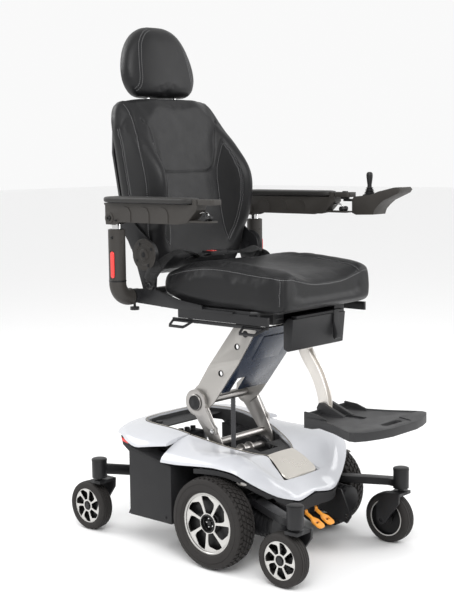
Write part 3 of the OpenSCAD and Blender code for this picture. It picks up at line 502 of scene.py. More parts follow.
def drive_wheel(side, sign):
    body = f"drive_wheel_{side}"
    low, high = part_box(f"drive_tyre_{side}")
    centre = (low + high) / 2
    wall = [(-29, 91), (-32, 93), (-34.5, 97), (-35, 98.5), (-36, 99), (-36.8, 106), (-36.6, 114),
            (-35.4, 115), (-35.2, 116.2), (-36, 117), (-35.5, 124), (-33.5, 129), (-31, 131)]
    crown = [(x, tyre_crown(x) - 4.6) for x in (-24, -12, 0, 12, 24)]
    profile = wall + crown + [(-x, r) for x, r in reversed(wall)] + [(20, 90.5), (-20, 90.5)]
    tyre = lathe(f"tyre_{side}", profile, centre, sign, 112, closed=True)
    place(tyre, body, "tyre", "drive_tread", [f"drive_tyre_{side}"])
    place(tread(f"tread_{side}", centre, sign), body, "tyre", "drive_tread")

    def on_lip(p):
        return math.hypot(p.y - centre.y, p.z - centre.z) > 0.0842

    barrel = copy_node(f"rim_barrel_{side}", f"drive_rim_{side}", on_lip)
    crisp(barrel, 30)
    place(barrel, body, "rim", "rim_silver", [f"drive_rim_{side}"])
    web = copy_node(f"rim_web_{side}", f"drive_rim_{side}",
                    lambda p: not on_lip(p) and sign * (p.x - centre.x) < 0.012)
    crisp(web, 30)
    place(web, body, "dark", "plastic_dark")
    face = wheel_face(f"rim_face_{side}", centre, sign, 26.5, 86, 24, -20)
    place(face, body, "rim", "rim_silver")
    backing = lathe(f"rim_backing_{side}", [(5, 20), (7, 28), (10, 80), (8, 84.3), (5, 84.3)], centre, sign)
    place(backing, body, "dark", "plastic_dark")
    ring = lathe(f"hub_ring_{side}", [(20, 28.5), (26, 27.5), (28.2, 24.5), (27.4, 22.6), (20, 22.4)],
                 centre, sign, closed=True)
    place(ring, body, "dark", "plastic_dark")
    cap = lathe(f"hub_nut_{side}", [(6, 0), (6, 18), (12, 18), (14, 16), (14, 9), (19, 8), (20.5, 6), (20.5, 0)],
                centre, sign, 24)
    place(cap, body, "stick", "stick_black")
    bolts = []
    for i in range(5):
        a = 2 * math.pi * i / 5
        spot = centre + Vector((sign * 14, 13.2 * math.cos(a), 13.2 * math.sin(a))) / 1000
        bolts.append(lathe(f"hub_bolt_{side}_{i}", [(0, 0), (0, 2.4), (2.2, 2.4), (3, 1.6), (3, 0)], spot, sign, 12))
    for bolt in bolts:
        place(bolt, body, "chrome", "bright_steel")


def caster_wheel(end, side, sign):
    node_name = f"{end}_caster_{side}"
    body = f"{end}_wheel_{side}"
    low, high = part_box(node_name)
    centre = (low + high) / 2
    centre.x = sign * (0.2595 if end == "front" else 0.2365)
    outside = [(20.5, 55.4), (22.6, 57), (24, 61), (23.4, 68), (21.4, 73.2), (18, 76), (15.4, 77),
               (14.6, 75.4), (13.4, 75.5), (12.4, 77.4), (5.4, 78), (4.6, 76.2), (3.4, 76.2), (2.6, 78)]
    profile = outside + [(-x, r) for x, r in reversed(outside)] + [(-12, 54), (12, 54)]
    tyre = lathe(f"{end}_tyre_{side}", profile, centre, sign, 96, closed=True)
    place(tyre, body, "tyre", "drive_tread", [node_name])

    def inside_bead(p):
        return math.hypot(p.y - centre.y, p.z - centre.z) < 0.0567

    wheel = copy_node(f"{end}_wheel_well_{side}", node_name,
                      lambda p: inside_bead(p) and sign * (p.x - centre.x) < 0.0105)
    crisp(wheel, 30)
    place(wheel, body, "dark", "plastic_dark")
    spokes = wheel_face(f"{end}_wheel_spokes_{side}", centre, sign, 15.5, 55.6, 17.6, -4 if end == "front" else 8)
    place(spokes, body, "rim", "rim_silver")
    cap = lathe(f"{end}_hub_cap_{side}", [(12, 15.3), (17.4, 14.8), (18.6, 13.4), (18, 12.2), (17.2, 11), (17.2, 0)],
                centre, sign, 40)
    place(cap, body, "stick", "stick_black")
    line = lathe(f"{end}_inner_ring_{side}", [(-19.5, 53.2), (-21.6, 52.8), (-21.6, 56.4), (-19.5, 56.8)],
                 centre, sign, 72, closed=True)
    place(line, body, "rim", "rim_silver")


# ---------------------------------------------------------------- upholstery
def remesh(obj, size):
    modifier = obj.modifiers.new("voxels", "REMESH")
    modifier.mode = "VOXEL"
    modifier.voxel_size = size
    modifier.use_smooth_shade = True
    bake_modifiers(obj)


def bake_modifiers(obj):
    """Puts the result of the piece's modifiers into its mesh."""
    graph = bpy.context.evaluated_depsgraph_get()
    baked = bpy.data.meshes.new_from_object(obj.evaluated_get(graph))
    materials = list(obj.data.materials)
    obj.modifiers.clear()
    obj.data = baked
    for material in materials:
        if material.name not in baked.materials:
            baked.materials.append(material)
    for face in baked.polygons:
        face.use_smooth = True


def inflate(obj, cap, pinned, pressure=4.0):
    """Fills the piece like a stuffed cover: cloth under pressure, with each point's travel capped."""
    rest = [v.co.copy() for v in obj.data.vertices]
    group = obj.vertex_groups.new(name="held")
    group.add([v.index for v in obj.data.vertices if pinned(v.co)], 1.0, "REPLACE")
    modifier = obj.modifiers.new("cloth", "CLOTH")
    settings = modifier.settings
    settings.quality = 5
    settings.mass = 0.3
    settings.tension_stiffness = 30
    settings.compression_stiffness = 30
    settings.shear_stiffness = 10
    settings.bending_stiffness = 4
    settings.use_pressure = True
    settings.uniform_pressure_force = pressure
    settings.effector_weights.gravity = 0
    settings.vertex_group_mass = "held"
    modifier.point_cache.frame_start = 1
    modifier.point_cache.frame_end = 20
    for step in range(1, 21):
        scene.frame_set(step)
    graph = bpy.context.evaluated_depsgraph_get()
    full = obj.evaluated_get(graph).to_mesh()
    moved = [v.co.copy() for v in full.vertices]
    obj.modifiers.clear()
    obj.vertex_groups.clear()
    for vertex, start, end in zip(obj.data.vertices, rest, moved):
        step = end - start
        if step.length > cap:
            step *= cap / step.length
        vertex.co = start + step
    scene.frame_set(1)


def surface_of(obj):
    graph = bpy.context.evaluated_depsgraph_get()
    return BVHTree.FromObject(obj, graph)


def on_surface(tree, points, lift=0.0):
    """The points dropped to the nearest place on a surface, with the normal there."""
    out = []
    for p in points:
        spot, normal, _, _ = tree.find_nearest(p)
        out.append((spot + normal * lift, normal))
    return out


def even(points, pitch):
    """Points at an even pitch along a line."""
    out, need = [points[0]], pitch
    for a, b in zip(points, points[1:]):
        length = (b - a).length
        while need <= length and length > 0:
            out.append(a.lerp(b, need / length))
            need += pitch
        need -= length
    return out


def sink_seams(obj, lines, depth=0.0035, width=0.006):
    """Presses a channel into the cover along each line."""
    spots = [p for line in lines for p in even(line, 0.002)]
    tree = KDTree(len(spots))
    for i, p in enumerate(spots):
        tree.insert(p, i)
    tree.balance()
    normals = [v.normal.copy() for v in obj.data.vertices]
    for vertex, normal in zip(obj.data.vertices, normals):
        _, _, gap = tree.find(vertex.co)
        if gap < 3 * width:
            vertex.co -= normal * depth * math.exp(-(gap / width) ** 2)


def stitches(name, tree, lines, body, pitch=0.0062, length=0.0042, radius=0.00065):
    """Sewn thread: one short rounded stitch after another along each line."""
    verts, faces = [], []
    for line in lines:
        path = even([s for s, _ in on_surface(tree, line)], pitch)
        spots = on_surface(tree, path, radius * 0.4)
        for i in range(1, len(spots) - 1):
            (a, normal), along = spots[i], (spots[i + 1][0] - spots[i - 1][0])
            if along.length < 1e-6:
                continue
            along.normalize()
            across = along.cross(normal).normalized()
            start = len(verts)
            for t, k in ((-0.5, 0.35), (-0.3, 1), (0.3, 1), (0.5, 0.35)):
                for s in range(6):
                    ang = 2 * math.pi * s / 6
                    verts.append(a + along * length * t
                                 + (across * math.cos(ang) + normal * math.sin(ang)) * radius * k)
            for ring in range(3):
                for s in range(6):
                    m = (s + 1) % 6
                    q = start + ring * 6
                    faces.append((q + s, q + m, q + 6 + m, q + 6 + s))
            faces.append(tuple(start + s for s in range(5, -1, -1)))
            faces.append(tuple(start + 18 + s for s in range(6)))
    return place(new_mesh(name, verts, faces), body, "thread", "cushion_cloth")


def piping(name, tree, line, body, radius=0.0016, sink=0.0004):
    path = [s for s, _ in on_surface(tree, even(line, 0.005), -sink)]
    return place(tube(name, path, radius, 8), body, "vinyl", "cushion_cloth")


def beside(line, tree, distance):
    """A line on the surface, at a distance to one side of another."""
    spots = on_surface(tree, even(line, 0.006))
    out = []
    for i, (p, normal) in enumerate(spots):
        along = spots[min(i + 1, len(spots) - 1)][0] - spots[max(i - 1, 0)][0]
        if along.length > 1e-6:
            out.append(p + along.normalized().cross(normal).normalized() * distance)
    return out


def ring(half_points, steps):
    """A closed symmetrical outline from its right half, which starts and ends on the middle line."""
    points = [Vector(p) for p in half_points]
    line = spline(points, steps)
    return line + [Vector((-p.x, p.y, p.z)) for p in reversed(line[1:-1])]


# ---------------------------------------------------------------- seat cushion
SEAT_HALF = 223
SEAT_TOP = ((-225, 832), (-205, 843), (-150, 853), (-60, 860), (60, 867), (150, 872), (205, 872), (238, 856))
SEAT_EDGE = ((-225, 858), (-205, 869), (-120, 878), (-10, 887), (70, 887), (120, 881), (165, 873), (205, 862),
             (238, 850))


def seat_half_width(y):
    """Half the plan width at y, with round front corners."""
    if y < -180:
        return SEAT_HALF - 44 + 44 * math.sqrt(max(0, 1 - ((-180 - y) / 48) ** 2))
    if y > 210:
        return SEAT_HALF - 12 * ((y - 210) / 28) ** 2
    return SEAT_HALF


def seat_floor(y):
    """Underside of the seat cushion, which lifts over the cross tube at the back."""
    return 751 + 0.3 * max(0, y - 125)


def seat_cushion():
    rows = []
    stations = [-224, -222, -217, -209, -198, -184, -168] + list(range(-150, 211, 20)) + [222, 230, 234]
    for y in stations:
        w = seat_half_width(y)
        edge, top = blendline(SEAT_EDGE, y) - 5, blendline(SEAT_TOP, y) - 5
        ends = max(0, min(1, (y + 228) / 34, (238 - y) / 14))
        low = seat_floor(y) + 24 * (1 - ends) ** 2
        half = [(0, top), (w * 0.35, top + (edge - top) * 0.12), (w * 0.62, top + (edge - top) * 0.62),
                (w * 0.80, edge + 2), (w - 14, edge - 4), (w - 3, edge - 15), (w, (edge + low) / 2), (w - 2, low + 20),
                (w - 14, low + 3), (w * 0.5, low), (0, low)]
        rows.append(ring([mm(x, y + 1, z) for x, z in half], 4))
    obj = loft("seat_cushion_cover", rows)
    remesh(obj, 0.005)
    inflate(obj, 0.005, lambda p: p.z * 1000 < seat_floor((p.y - AXLE_Y) * 1000) + 14)
    subdivide(obj)
    surface = surface_of(obj)
    rim = [mm(-SEAT_HALF + 4, 212, blendline(SEAT_EDGE, 212) - 14)]
    rim += [mm(-SEAT_HALF - 2, y, blendline(SEAT_EDGE, y) - 11) for y in range(190, -171, -20)]
    rim += [mm(-seat_half_width(y) - 1, y, blendline(SEAT_EDGE, y) - 9) for y in (-186, -200, -212)]
    front = [mm(x, -228, 833 + 24 * min(1, abs(x) / 185) ** 2) for x in range(-180, 181, 30)]
    around = spline(rim + front + [Vector((-p.x, p.y, p.z)) for p in reversed(rim)], 3)
    corners = [spline([mm(s * 206, -214, 856), mm(s * 210, -214, 820), mm(s * 208, -210, 762)], 8) for s in (-1, 1)]
    panel = [spline([mm(s * 148, -226, 846), mm(s * 148, -150, 872), mm(s * 150, -20, 880), mm(s * 146, 120, 870),
                     mm(s * 140, 222, 850)], 8) for s in (-1, 1)]
    sink_seams(obj, [around] + corners + panel, 0.0034, 0.0048)
    surface = surface_of(obj)
    stitches("seat_stitches", surface, [beside(around, surface, 0.0045)]
             + [beside(line, surface, 0.004) for line in panel + corners], "seat")
    piping("seat_piping", surface, around, "seat", 0.0013)
    place(obj, "seat", "vinyl", "cushion_cloth", ["seat_cushion"])


def subdivide(obj):
    modifier = obj.modifiers.new("fine", "SUBSURF")
    modifier.levels = modifier.render_levels = 1
    smooth = obj.modifiers.new("even", "SMOOTH")
    smooth.iterations = 8
    bake_modifiers(obj)


# ---------------------------------------------------------------- back cushion
REACH = ((-56, -14), (-32, -8), (10, 6), (50, 24), (95, 52), (180, 84), (240, 84), (325, 44), (400, 6), (450, -10),
         (487, -20))
BACK_HALF = ((-56, 184), (-32, 198), (0, 214), (60, 222), (250, 223), (340, 220), (395, 212), (440, 196), (470, 176),
             (487, 152))
BACK_REAR = ((-56, 190), (-20, 208), (60, 221), (400, 222), (440, 217), (470, 205), (487, 186))
BOLSTER_INNER = ((20, 136), (64, 125), (120, 122), (184, 123), (248, 127), (292, 140), (344, 160))
BOLSTER_OUTER = ((20, 136), (68, 160), (128, 168), (188, 171), (236, 170), (296, 168), (344, 160))
YOKE = ((166, 414), (142, 356), (133, 310), (122, 270), (104, 252), (80, 248), (0, 247))
BACK_EDGE = ((188, 476), (189, 456), (195, 412), (206, 364), (213, 324), (218, 272), (221, 208), (220, 130),
             (216, 60), (208, 0))


def back_half(z):
    """Half a section of the back cushion, from the middle of the front to the middle of the rear."""
    reach, w, rear = blendline(REACH, z), blendline(BACK_HALF, z), blendline(BACK_REAR, z)
    ends = max(0.0, min(1.0, (z + 60) / 30, (492 - z) / 30))
    thin = 26 * (1 - math.sqrt(1 - (1 - ends) ** 2))
    c, back, k = 6 + thin, 93 - thin, w / 223
    return [(0, c), (70 * k, c - 1), (118 * k, c - 3), (148 * k, c - 4 - reach * 0.30), (166 * k, c - 6 - reach * 0.72),
            (186 * k, c - 6 - reach), (206 * k, c - 2 - reach * 0.94), (w - 2, c + 12 - reach * 0.62),
            (max(w, rear - 3), (c + back) / 2 - reach * 0.12), (rear - 1, back - 22), (rear - 14, back - 3),
            (rear * 0.6, back), (0, back)]


def back_point(x, z):
    """The point of the back cushion's front at x and z."""
    half = back_half(z)[:9]
    for (x0, y0), (x1, y1) in zip(half, half[1:]):
        if abs(x) <= x1:
            return leaned(x, y0 + (y1 - y0) * (abs(x) - x0) / (x1 - x0), z)
    return leaned(x, half[-1][1], z)


def on_back(p):
    """The height above the hinge and the depth of a point, along and across the lean."""
    d = p - HINGE
    return (1000 * (d.y * math.sin(LEAN) + d.z * math.cos(LEAN)),
            1000 * (d.y * math.cos(LEAN) - d.z * math.sin(LEAN)))


def back_cushion():
    rows = []
    for z in [-54, -51, -44, -32, -14] + list(range(6, 436, 17)) + [448, 460, 471, 480, 486]:
        rows.append(ring([leaned(x, y, z) for x, y in back_half(z)], 4))
    obj = loft("back_cushion_cover", rows)
    remesh(obj, 0.005)
    inflate(obj, 0.0045, lambda p: on_back(p)[1] > 84)
    subdivide(obj)
    yoke = spline([back_point(-x, z) for x, z in YOKE[:-1]] + [back_point(x, z) for x, z in reversed(YOKE)], 6)
    inner = [spline([back_point(s * x, z) for z, x in BOLSTER_INNER], 6) for s in (-1, 1)]
    outer = [spline([back_point(s * x, z) for z, x in BOLSTER_OUTER], 6) for s in (-1, 1)]
    edge = [spline([back_point(s * x, z) for x, z in BACK_EDGE], 6) for s in (-1, 1)]
    side = [spline([leaned(s * x, y, z) for x, y, z in (
        (224, 52, 396), (224, 46, 356), (226, 42, 308), (228, 40, 200), (226, 42, 100), (214, 46, 0))], 6)
        for s in (-1, 1)]
    sink_seams(obj, [yoke] + inner + outer + edge + side, 0.0034, 0.0045)
    surface = surface_of(obj)
    doubles = [beside(line, surface, d) for line in outer + side for d in (0.0042, -0.0042)]
    stitches("back_stitches", surface, doubles + [beside(line, surface, 0.004) for line in inner + edge], "backrest")
    for label, line in (("yoke", yoke), ("edge_right", edge[0]), ("edge_left", edge[1])):
        piping(f"back_piping_{label}", surface, line, "backrest", 0.0014)
    place(obj, "backrest", "vinyl", "cushion_cloth", ["back_cushion"])
    add_weave_zone(obj)


def add_weave_zone(obj):
    """Cloth inserts between the inner and outer seams of each bolster."""
    obj.data.materials.append(finish_of("mesh_cloth", **LOOKS["mesh_cloth"]))
    for face in obj.data.polygons:
        z, y = on_back(face.center)
        x = abs(face.center.x) * 1000
        if y < 12 and 20 < z < 344 and blendline(BOLSTER_INNER, z) < x < blendline(BOLSTER_OUTER, z):
            face.material_index = len(obj.data.materials) - 1


# ---------------------------------------------------------------- headrest
HEAD_HALF = ((-9, 100), (-2, 118), (10, 130), (40, 147), (75, 150), (110, 143), (140, 131), (170, 111), (195, 86),
             (208, 64), (219, 34))


def headrest():
    rows = []
    for z in (-7, -4, 2, 12, 28, 46, 64, 82, 100, 118, 136, 152, 168, 182, 194, 203, 210, 214):
        w = blendline(HEAD_HALF, z)
        ends = max(0.0, min(1.0, (z + 11) / 32, (219 - z) / 56))
        depth = 47 * math.sqrt(1 - (1 - ends) ** 2) * 0.97 + 1
        half = []
        for k in range(0, 13):
            a = math.pi * k / 12
            x = w * math.copysign(abs(math.sin(a)) ** 0.72, math.sin(a))
            y = -depth * math.copysign(abs(math.cos(a)) ** 0.80, math.cos(a))
            half.append(leaned(x, 65 + y, 505 + z))
        rows.append(ring(half, 3))
    obj = loft("headrest_cover", rows)
    remesh(obj, 0.005)

    def rear(p):
        return (p - leaned(0, 105, 600)).y > 0

    inflate(obj, 0.0035, rear)
    subdivide(obj)
    seams = [spline([leaned(s * x, y, 505 + z) for x, y, z in (
        (40, 24, 213), (72, 20, 196), (96, 18, 160), (105, 18, 120), (111, 18, 80), (115, 18, 44), (124, 20, 18),
        (137, 34, 2), (142, 52, -4))], 6)
        for s in (-1, 1)]
    sink_seams(obj, seams, 0.0035, 0.0055)
    surface = surface_of(obj)
    stitches("headrest_stitches", surface, [beside(line, surface, d) for line in seams for d in (0.0045, -0.0045)],
             "headrest")
    place(obj, "headrest", "vinyl", "cushion_cloth", ["headrest_cushion"])


# ---------------------------------------------------------------- armrests
def arm_pad(side, sign):
    low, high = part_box(f"arm_pad_{side}")
    middle, rows = (low + high) / 2, []
    length, width, tall = high.y - low.y, (high.x - low.x) / 2, high.z - low.z
    for k in range(0, 41):
        t = k / 40
        y = low.y + length * (0.5 - 0.5 * math.cos(math.pi * t))
        ends = min(1.0, (y - low.y + 0.0004) / 0.030, (high.y - y + 0.0004) / 0.030)
        w = width * (0.35 + 0.65 * math.sqrt(max(0, 1 - (1 - ends) ** 2)))
        if y < low.y + 0.12:
            w *= 0.90 + 0.10 * (y - low.y) / 0.12
        h = tall / 2 * (0.55 + 0.45 * math.sqrt(max(0, 1 - (1 - ends) ** 2)))
        row = []
        for j in range(36):
            a = 2 * math.pi * j / 36
            c, s = math.cos(a), math.sin(a)
            row.append(Vector((middle.x + w * math.copysign(abs(c) ** 0.45, c), y,
                               middle.z + h * math.copysign(abs(s) ** 0.55, s))))
        rows.append(row)
    obj = loft(f"arm_pad_cover_{side}", rows)
    place(obj, f"armrest_{side}", "pad", "armpad_foam", [f"arm_pad_{side}"])
    seam = [mm(sign * (316 + d), y, 1058) for d, y in ((33, 340), (33, 200), (32, 60), (29, 0), (15, -16))]
    lip = tube(f"arm_pad_seam_{side}", on_line(surface_of(obj), spline(seam, 6)), 0.0011, 8)
    place(lip, f"armrest_{side}", "dark", "armpad_foam")


def on_line(tree, line, lift=0.0):
    return [s for s, _ in on_surface(tree, line, lift)]


def arm_details(side, sign):
    body = f"armrest_{side}"
    for label, y, z, r in (("pivot", 336, 1012, 7.5), ("stop", 306, 1006, 3.2)):
        screw = lathe(f"arm_{label}_screw_{side}", [(22.6, r), (25, r), (26.2, r - 1.2), (26.2, r * 0.45),
                                                    (24.4, r * 0.4), (24.4, 0)], mm(sign * 316, y, z), sign, 24)
        place(screw, body, "dark", "frame_black")
    knob = lathe(f"arm_front_knob_{side}", [(-16, 0), (-16, 6), (-14, 7.5), (-6, 7.5), (-4, 5), (6, 5), (8, 8),
                                            (15, 8), (17, 6.5), (17, 0)], mm(sign * 316, -40, 1020), sign, 28)
    place(knob, body, "stick", "frame_black")
    lead = spline([mm(sign * x, y, z) for x, y, z in ((312, -6, 1034), (309, -24, 1036), (312, -40, 1030),
                                                      (310, -34, 1022))], 6)
    place(tube(f"arm_front_clip_{side}", lead, 0.0024, 8), body, "chrome", "bright_steel")


def recline_disc(side, sign):
    disc = lathe(f"recline_disc_{side}", [(2.8, 48.2), (4.0, 47.2), (4.0, 31), (3.3, 30), (3.3, 18), (5.4, 17),
                                          (6.0, 15.6), (6.0, 8.4), (4.2, 7.6), (4.2, 0)],
                 mm(sign * 243.5, 285, 899), sign, 64)
    place(disc, "seat", "armrest", "frame_black")


def reflector_and_holes(side, sign):
    recline_disc(side, sign)
    hole = lathe(f"post_screw_{side}", [(0, 0), (0, 4.5), (2.6, 4.5), (3.6, 3.4), (3.6, 1.8), (2.2, 1.6), (2.2, 0)],
                 mm(sign * 340.2, 322, 955), sign, 20)
    place(hole, "seat", "dark", "frame_black")
    collar = lathe_z(f"post_collar_{side}", [(25.6, 0), (26.4, 1), (26.4, 4), (25.6, 5)], mm(sign * 316, 328, 822))
    place(collar, "seat", "dark", "armrest_plastic")
    cuff = lathe_z(f"post_cuff_{side}", [(14.2, 0), (21, 0), (24.6, -3), (25.4, -6)], mm(sign * 316, 328, 979.5))
    place(cuff, "seat", "dark", "armrest_plastic")


def lathe_z(name, profile, base, steps=48):
    """A turned piece about Z: profile holds (radius, height) pairs in millimetres."""
    verts, faces, n = [], [], len(profile)
    for i in range(steps):
        a = 2 * math.pi * i / steps
        for r, z in profile:
            verts.append(base + Vector((r * math.cos(a), r * math.sin(a), z)) / 1000)
    for i in range(steps):
        k = (i + 1) % steps
        for j in range(n - 1):
            faces.append((i * n + j, k * n + j, k * n + j + 1, i * n + j + 1))
    obj = new_mesh(name, verts, faces)
    crisp(obj, 30)
    return obj


# ---------------------------------------------------------------- lap belt
def strap(name, path, facings, width=0.040, thick=0.0016):
    """Webbing along a path: facings say which way the strap's width points at each point."""
    line, wide = spline(path, 8), spline(facings, 8)
    rows = []
    for i, p in enumerate(line):
        along = (line[min(i + 1, len(line) - 1)] - line[max(i - 1, 0)]).normalized()
        across = (wide[i] - along * wide[i].dot(along)).normalized()
        up = along.cross(across)
        row = []
        for u, v in ((-1, 0), (-0.96, 0.9), (-0.5, 1), (0, 1), (0.5, 1), (0.96, 0.9), (1, 0),
                     (0.96, -0.9), (0.5, -1), (0, -1), (-0.5, -1), (-0.96, -0.9)):
            row.append(p + across * u * width / 2 + up * v * thick / 2)
        rows.append(row)
    return loft(name, rows)


def lap_belt():
    along_y, along_x = Vector((0, 1, 0)), Vector((1, 0, 0))
    right = strap("belt_right", [mm(*p) for p in (
        (-247, 262, 812), (-247, 252, 836), (-243, 232, 862), (-232, 214, 886), (-205, 206, 903), (-168, 200, 911),
        (-130, 200, 900), (-98, 204, 888), (-60, 208, 886), (-46, 210, 888))],
        [Vector((0, 1, -0.1)), Vector((0, 1, 0.1)), Vector((0.1, 1, 0.2)), Vector((0.2, 1, 0.2)), Vector((0.1, 1, 0)),
         Vector((0, 1, 0.1)), along_y, along_y, along_y, along_y])
    place(right, "seat", "webbing", "webbing", ["lap_belt"])
    left = strap("belt_left", [mm(*p) for p in (
        (247, 262, 812), (247, 250, 838), (242, 226, 862), (230, 210, 880), (190, 206, 896), (140, 206, 890),
        (96, 208, 886), (62, 210, 887), (40, 210, 888))],
        [along_y] * 2 + [Vector((0.2, 1, 0.2))] * 2 + [Vector((0, 1, 0.3)), Vector((0, 1, 0.2))] + [along_y] * 3)
    place(left, "seat", "webbing", "webbing")
    tail = strap("belt_tail", [mm(*p) for p in ((-120, 214, 880), (-100, 216, 884), (-70, 214, 892), (-52, 212, 894))],
                 [along_y] * 4, 0.038)
    place(tail, "seat", "webbing", "webbing")
    buckle = copy_node("belt_buckle", "lap_belt", lambda p: -0.056 < p.x < 0.0775 and p.z > 0.8792
                       and abs(p.y - 0.135) < 0.0245)
    edge = buckle.modifiers.new("edge", "BEVEL")
    edge.width = 0.0016
    edge.segments = 3
    edge.limit_method = "ANGLE"
    crisp(buckle, 40)
    place(buckle, "seat", "grained", "plastic_dark")
    tongue = strap("belt_tongue", [mm(22, 210, 886), mm(30, 210, 886.5), mm(38, 210, 887), mm(46, 210, 887.5)],
                   [along_y] * 4, 0.026, 0.003)
    place(tongue, "seat", "chrome", "bright_steel")
    for side, sign in SIDES:
        tab = loft(f"belt_anchor_{side}", [[mm(sign * x, y, z) for y, z in (
            (270, 796), (256, 794), (248, 804), (250, 828), (258, 838), (272, 836), (278, 820), (278, 802))]
            for x in (245.2, 247.2)], smooth=False)
        place(tab, "seat", "chrome", "bright_steel")
        bolt = lathe(f"belt_bolt_{side}", [(0, 0), (0, 9), (5, 9), (6.5, 7.5), (6.5, 3.4), (4.5, 3), (4.5, 0)],
                     mm(sign * 247, 263, 808), sign, 6)
        place(bolt, "seat", "powder", "frame_black")
        sleeve = strap(f"belt_sleeve_{side}", [mm(sign * x, y, z) for x, y, z in (
            (248.5, 262, 822), (248.5, 254, 840), (245.5, 238, 858), (240, 226, 872))],
            [along_y] * 4, 0.046, 0.0045)
        place(sleeve, "seat", "webbing", "webbing")


# ---------------------------------------------------------------- joystick
def joystick():
    centre = mm(316, -140, 1046)
    boot = [(5, 17)]
    for k in range(5):
        z, r = 20 + 4.6 * k, 17.5 - 1.5 * k
        boot += [(r - 3.4, z), (r, z + 1.6), (r - 0.6, z + 2.8), (r - 4.2, z + 4.2)]
    knob = [(7, 42), (6.6, 50), (7.6, 56), (8.6, 64), (9.8, 74), (10, 80), (9.2, 85), (6.6, 88.4), (3, 89.4), (0.2, 89.6)]
    rubber = lathe_z("stick_boot", boot + knob, centre, 40)
    place(rubber, "stick", "stick", "stick_black", ["joystick_stick"])
    collar = lathe_z("stick_collar", [(18, 14), (21.5, 16), (21.5, 19), (18.5, 20.5), (17, 19)], centre)
    place(collar, "joystick_arm", "stick", "armrest_plastic")
    pad = loft("stick_keypad", [[mm(316 + u * w, y, z) for u, w, y, z in (
        (-1, 22, -204, 1079.0 + lift), (1, 22, -204, 1079.0 + lift), (1, 19, -246, 1088.3 + lift),
        (-1, 19, -246, 1088.3 + lift))] for lift in (-1.2, 0.9)], smooth=False)
    place(pad, "joystick_arm", "stick", "stick_black")


# ---------------------------------------------------------------- lift
def conduit():
    low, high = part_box("conduit")
    x, y = (low.x + high.x) / 2, (low.y + high.y) / 2
    profile, z = [], 0.0
    while z < (high.z - low.z) * 1000 - 6:
        profile += [(6.0, z), (7.6, z + 1.0), (7.6, z + 2.6), (6.0, z + 3.6)]
        z += 4.4
    hose = lathe_z("lift_conduit", profile, Vector((x, y, low.z + 0.001)), 28)
    bake_modifiers(hose)
    crisp(hose, 40)
    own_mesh(hose)
    place(hose, "base", "hose", "conduit_grey", ["conduit"])


def lift_details():
    for side, sign in SIDES:
        cap = lathe(f"knee_cap_{side}", [(0, 22.5), (2.2, 22.5), (3.4, 21.4), (3.4, 20.2), (2.4, 19), (2.4, 8),
                                         (3.0, 6.8), (3.0, 0)], mm(sign * 129.9, 196, 441), sign, 56)
        place(cap, "lower_link", "stick", "stick_black")
        rim_ring = lathe(f"knee_ring_{side}", [(0, 25.4), (1.6, 25.2), (2.6, 24), (2.2, 22.7), (0, 22.6)],
                         mm(sign * 129.5, 196, 441), sign, 56)
        place(rim_ring, "lower_link", "brushed", "link_steel")
        screw = lathe(f"link_screw_{side}", [(0, 7.4), (1.8, 7.0), (2.4, 5.6), (1.4, 3.2), (1.4, 0)],
                      mm(sign * 130.1, 125, 361), sign, 24)
        place(screw, "lower_link", "chrome", "bright_steel")
        rib = [mm(sign * 127.9, y, z) for y, z in ((152, 419), (134, 391), (119, 368))]
        place(tube(f"link_bevel_{side}", spline(rib, 5), 0.0016, 8), "lower_link", "brushed", "link_steel")
        for k, (y, z) in enumerate(((37, 627), (103, 539))):
            bush = lathe(f"arm_bush_{side}_{k}", [(-1.0, 9.4), (1.2, 9.4), (1.4, 8.6), (1.2, 7.8), (-5.2, 7.6)],
                         mm(sign * 112.2, y, z), sign, 32)
            place(bush, "upper_arm", "dark", "frame_black")


# ---------------------------------------------------------------- base
def shroud(name, source):
    obj = copy_node(name, source)
    crisp(obj, 34)
    place(obj, "base", "pearl", "shell_white", [source])


PLATE_HALF = ((-120, 78), (-112, 77.5), (-90, 73), (-62, 66), (-34, 58.5))
PLATE_ROUND = 20         # radius of its front corners
PLATE_BACK, PLATE_DEPTH, PLATE_FRONT = -34.3, 85, 119.4
PLATE_ROWS = 32


def nose_plate():
    """The plain silver plate on the nose, slightly crowned and with round front corners."""
    under = surface_of(nodes["front_panel"])
    across = (-1, -0.985, -0.9, -0.7, -0.45, -0.2, 0, 0.2, 0.45, 0.7, 0.9, 0.985, 1)
    rows = []
    for k in range(PLATE_ROWS + 1):
        y = PLATE_BACK - PLATE_DEPTH * (k / PLATE_ROWS) ** 0.8
        w, start = blendline(PLATE_HALF, y), PLATE_ROUND - PLATE_FRONT
        if y < start:
            w -= PLATE_ROUND * (1 - math.sqrt(max(0, 1 - ((start - y) / PLATE_ROUND) ** 2)))
        z = under.ray_cast(mm(0, y, 500), Vector((0, 0, -1)))[0].z * 1000
        top = [mm(u * w, y, z + (0.6 if abs(u) == 1 else 2.0 + 1.6 * (1 - u * u))) for u in across]
        rows.append(top + [mm(u * w, y, z - 1.6) for u in reversed(across)])
    plate = loft("nose_plate", rows)
    crisp(plate, 35)
    place(plate, "base", "warm_silver", "panel_silver", ["front_panel"])


RIM_FRONT = ((58, -35, 297.6), (88, 0, 305.2), (122, 64, 320.2), (145, 130, 336.4), (156, 189, 347.2))
RIM_REAR = ((156.6, 193, 349.2), (161, 250, 358.2), (163, 300, 361.2), (158, 350, 362.2), (146, 388, 362.4),
            (114, 416, 362.4), (59, 425.6, 362.4), (0, 426, 362.4))


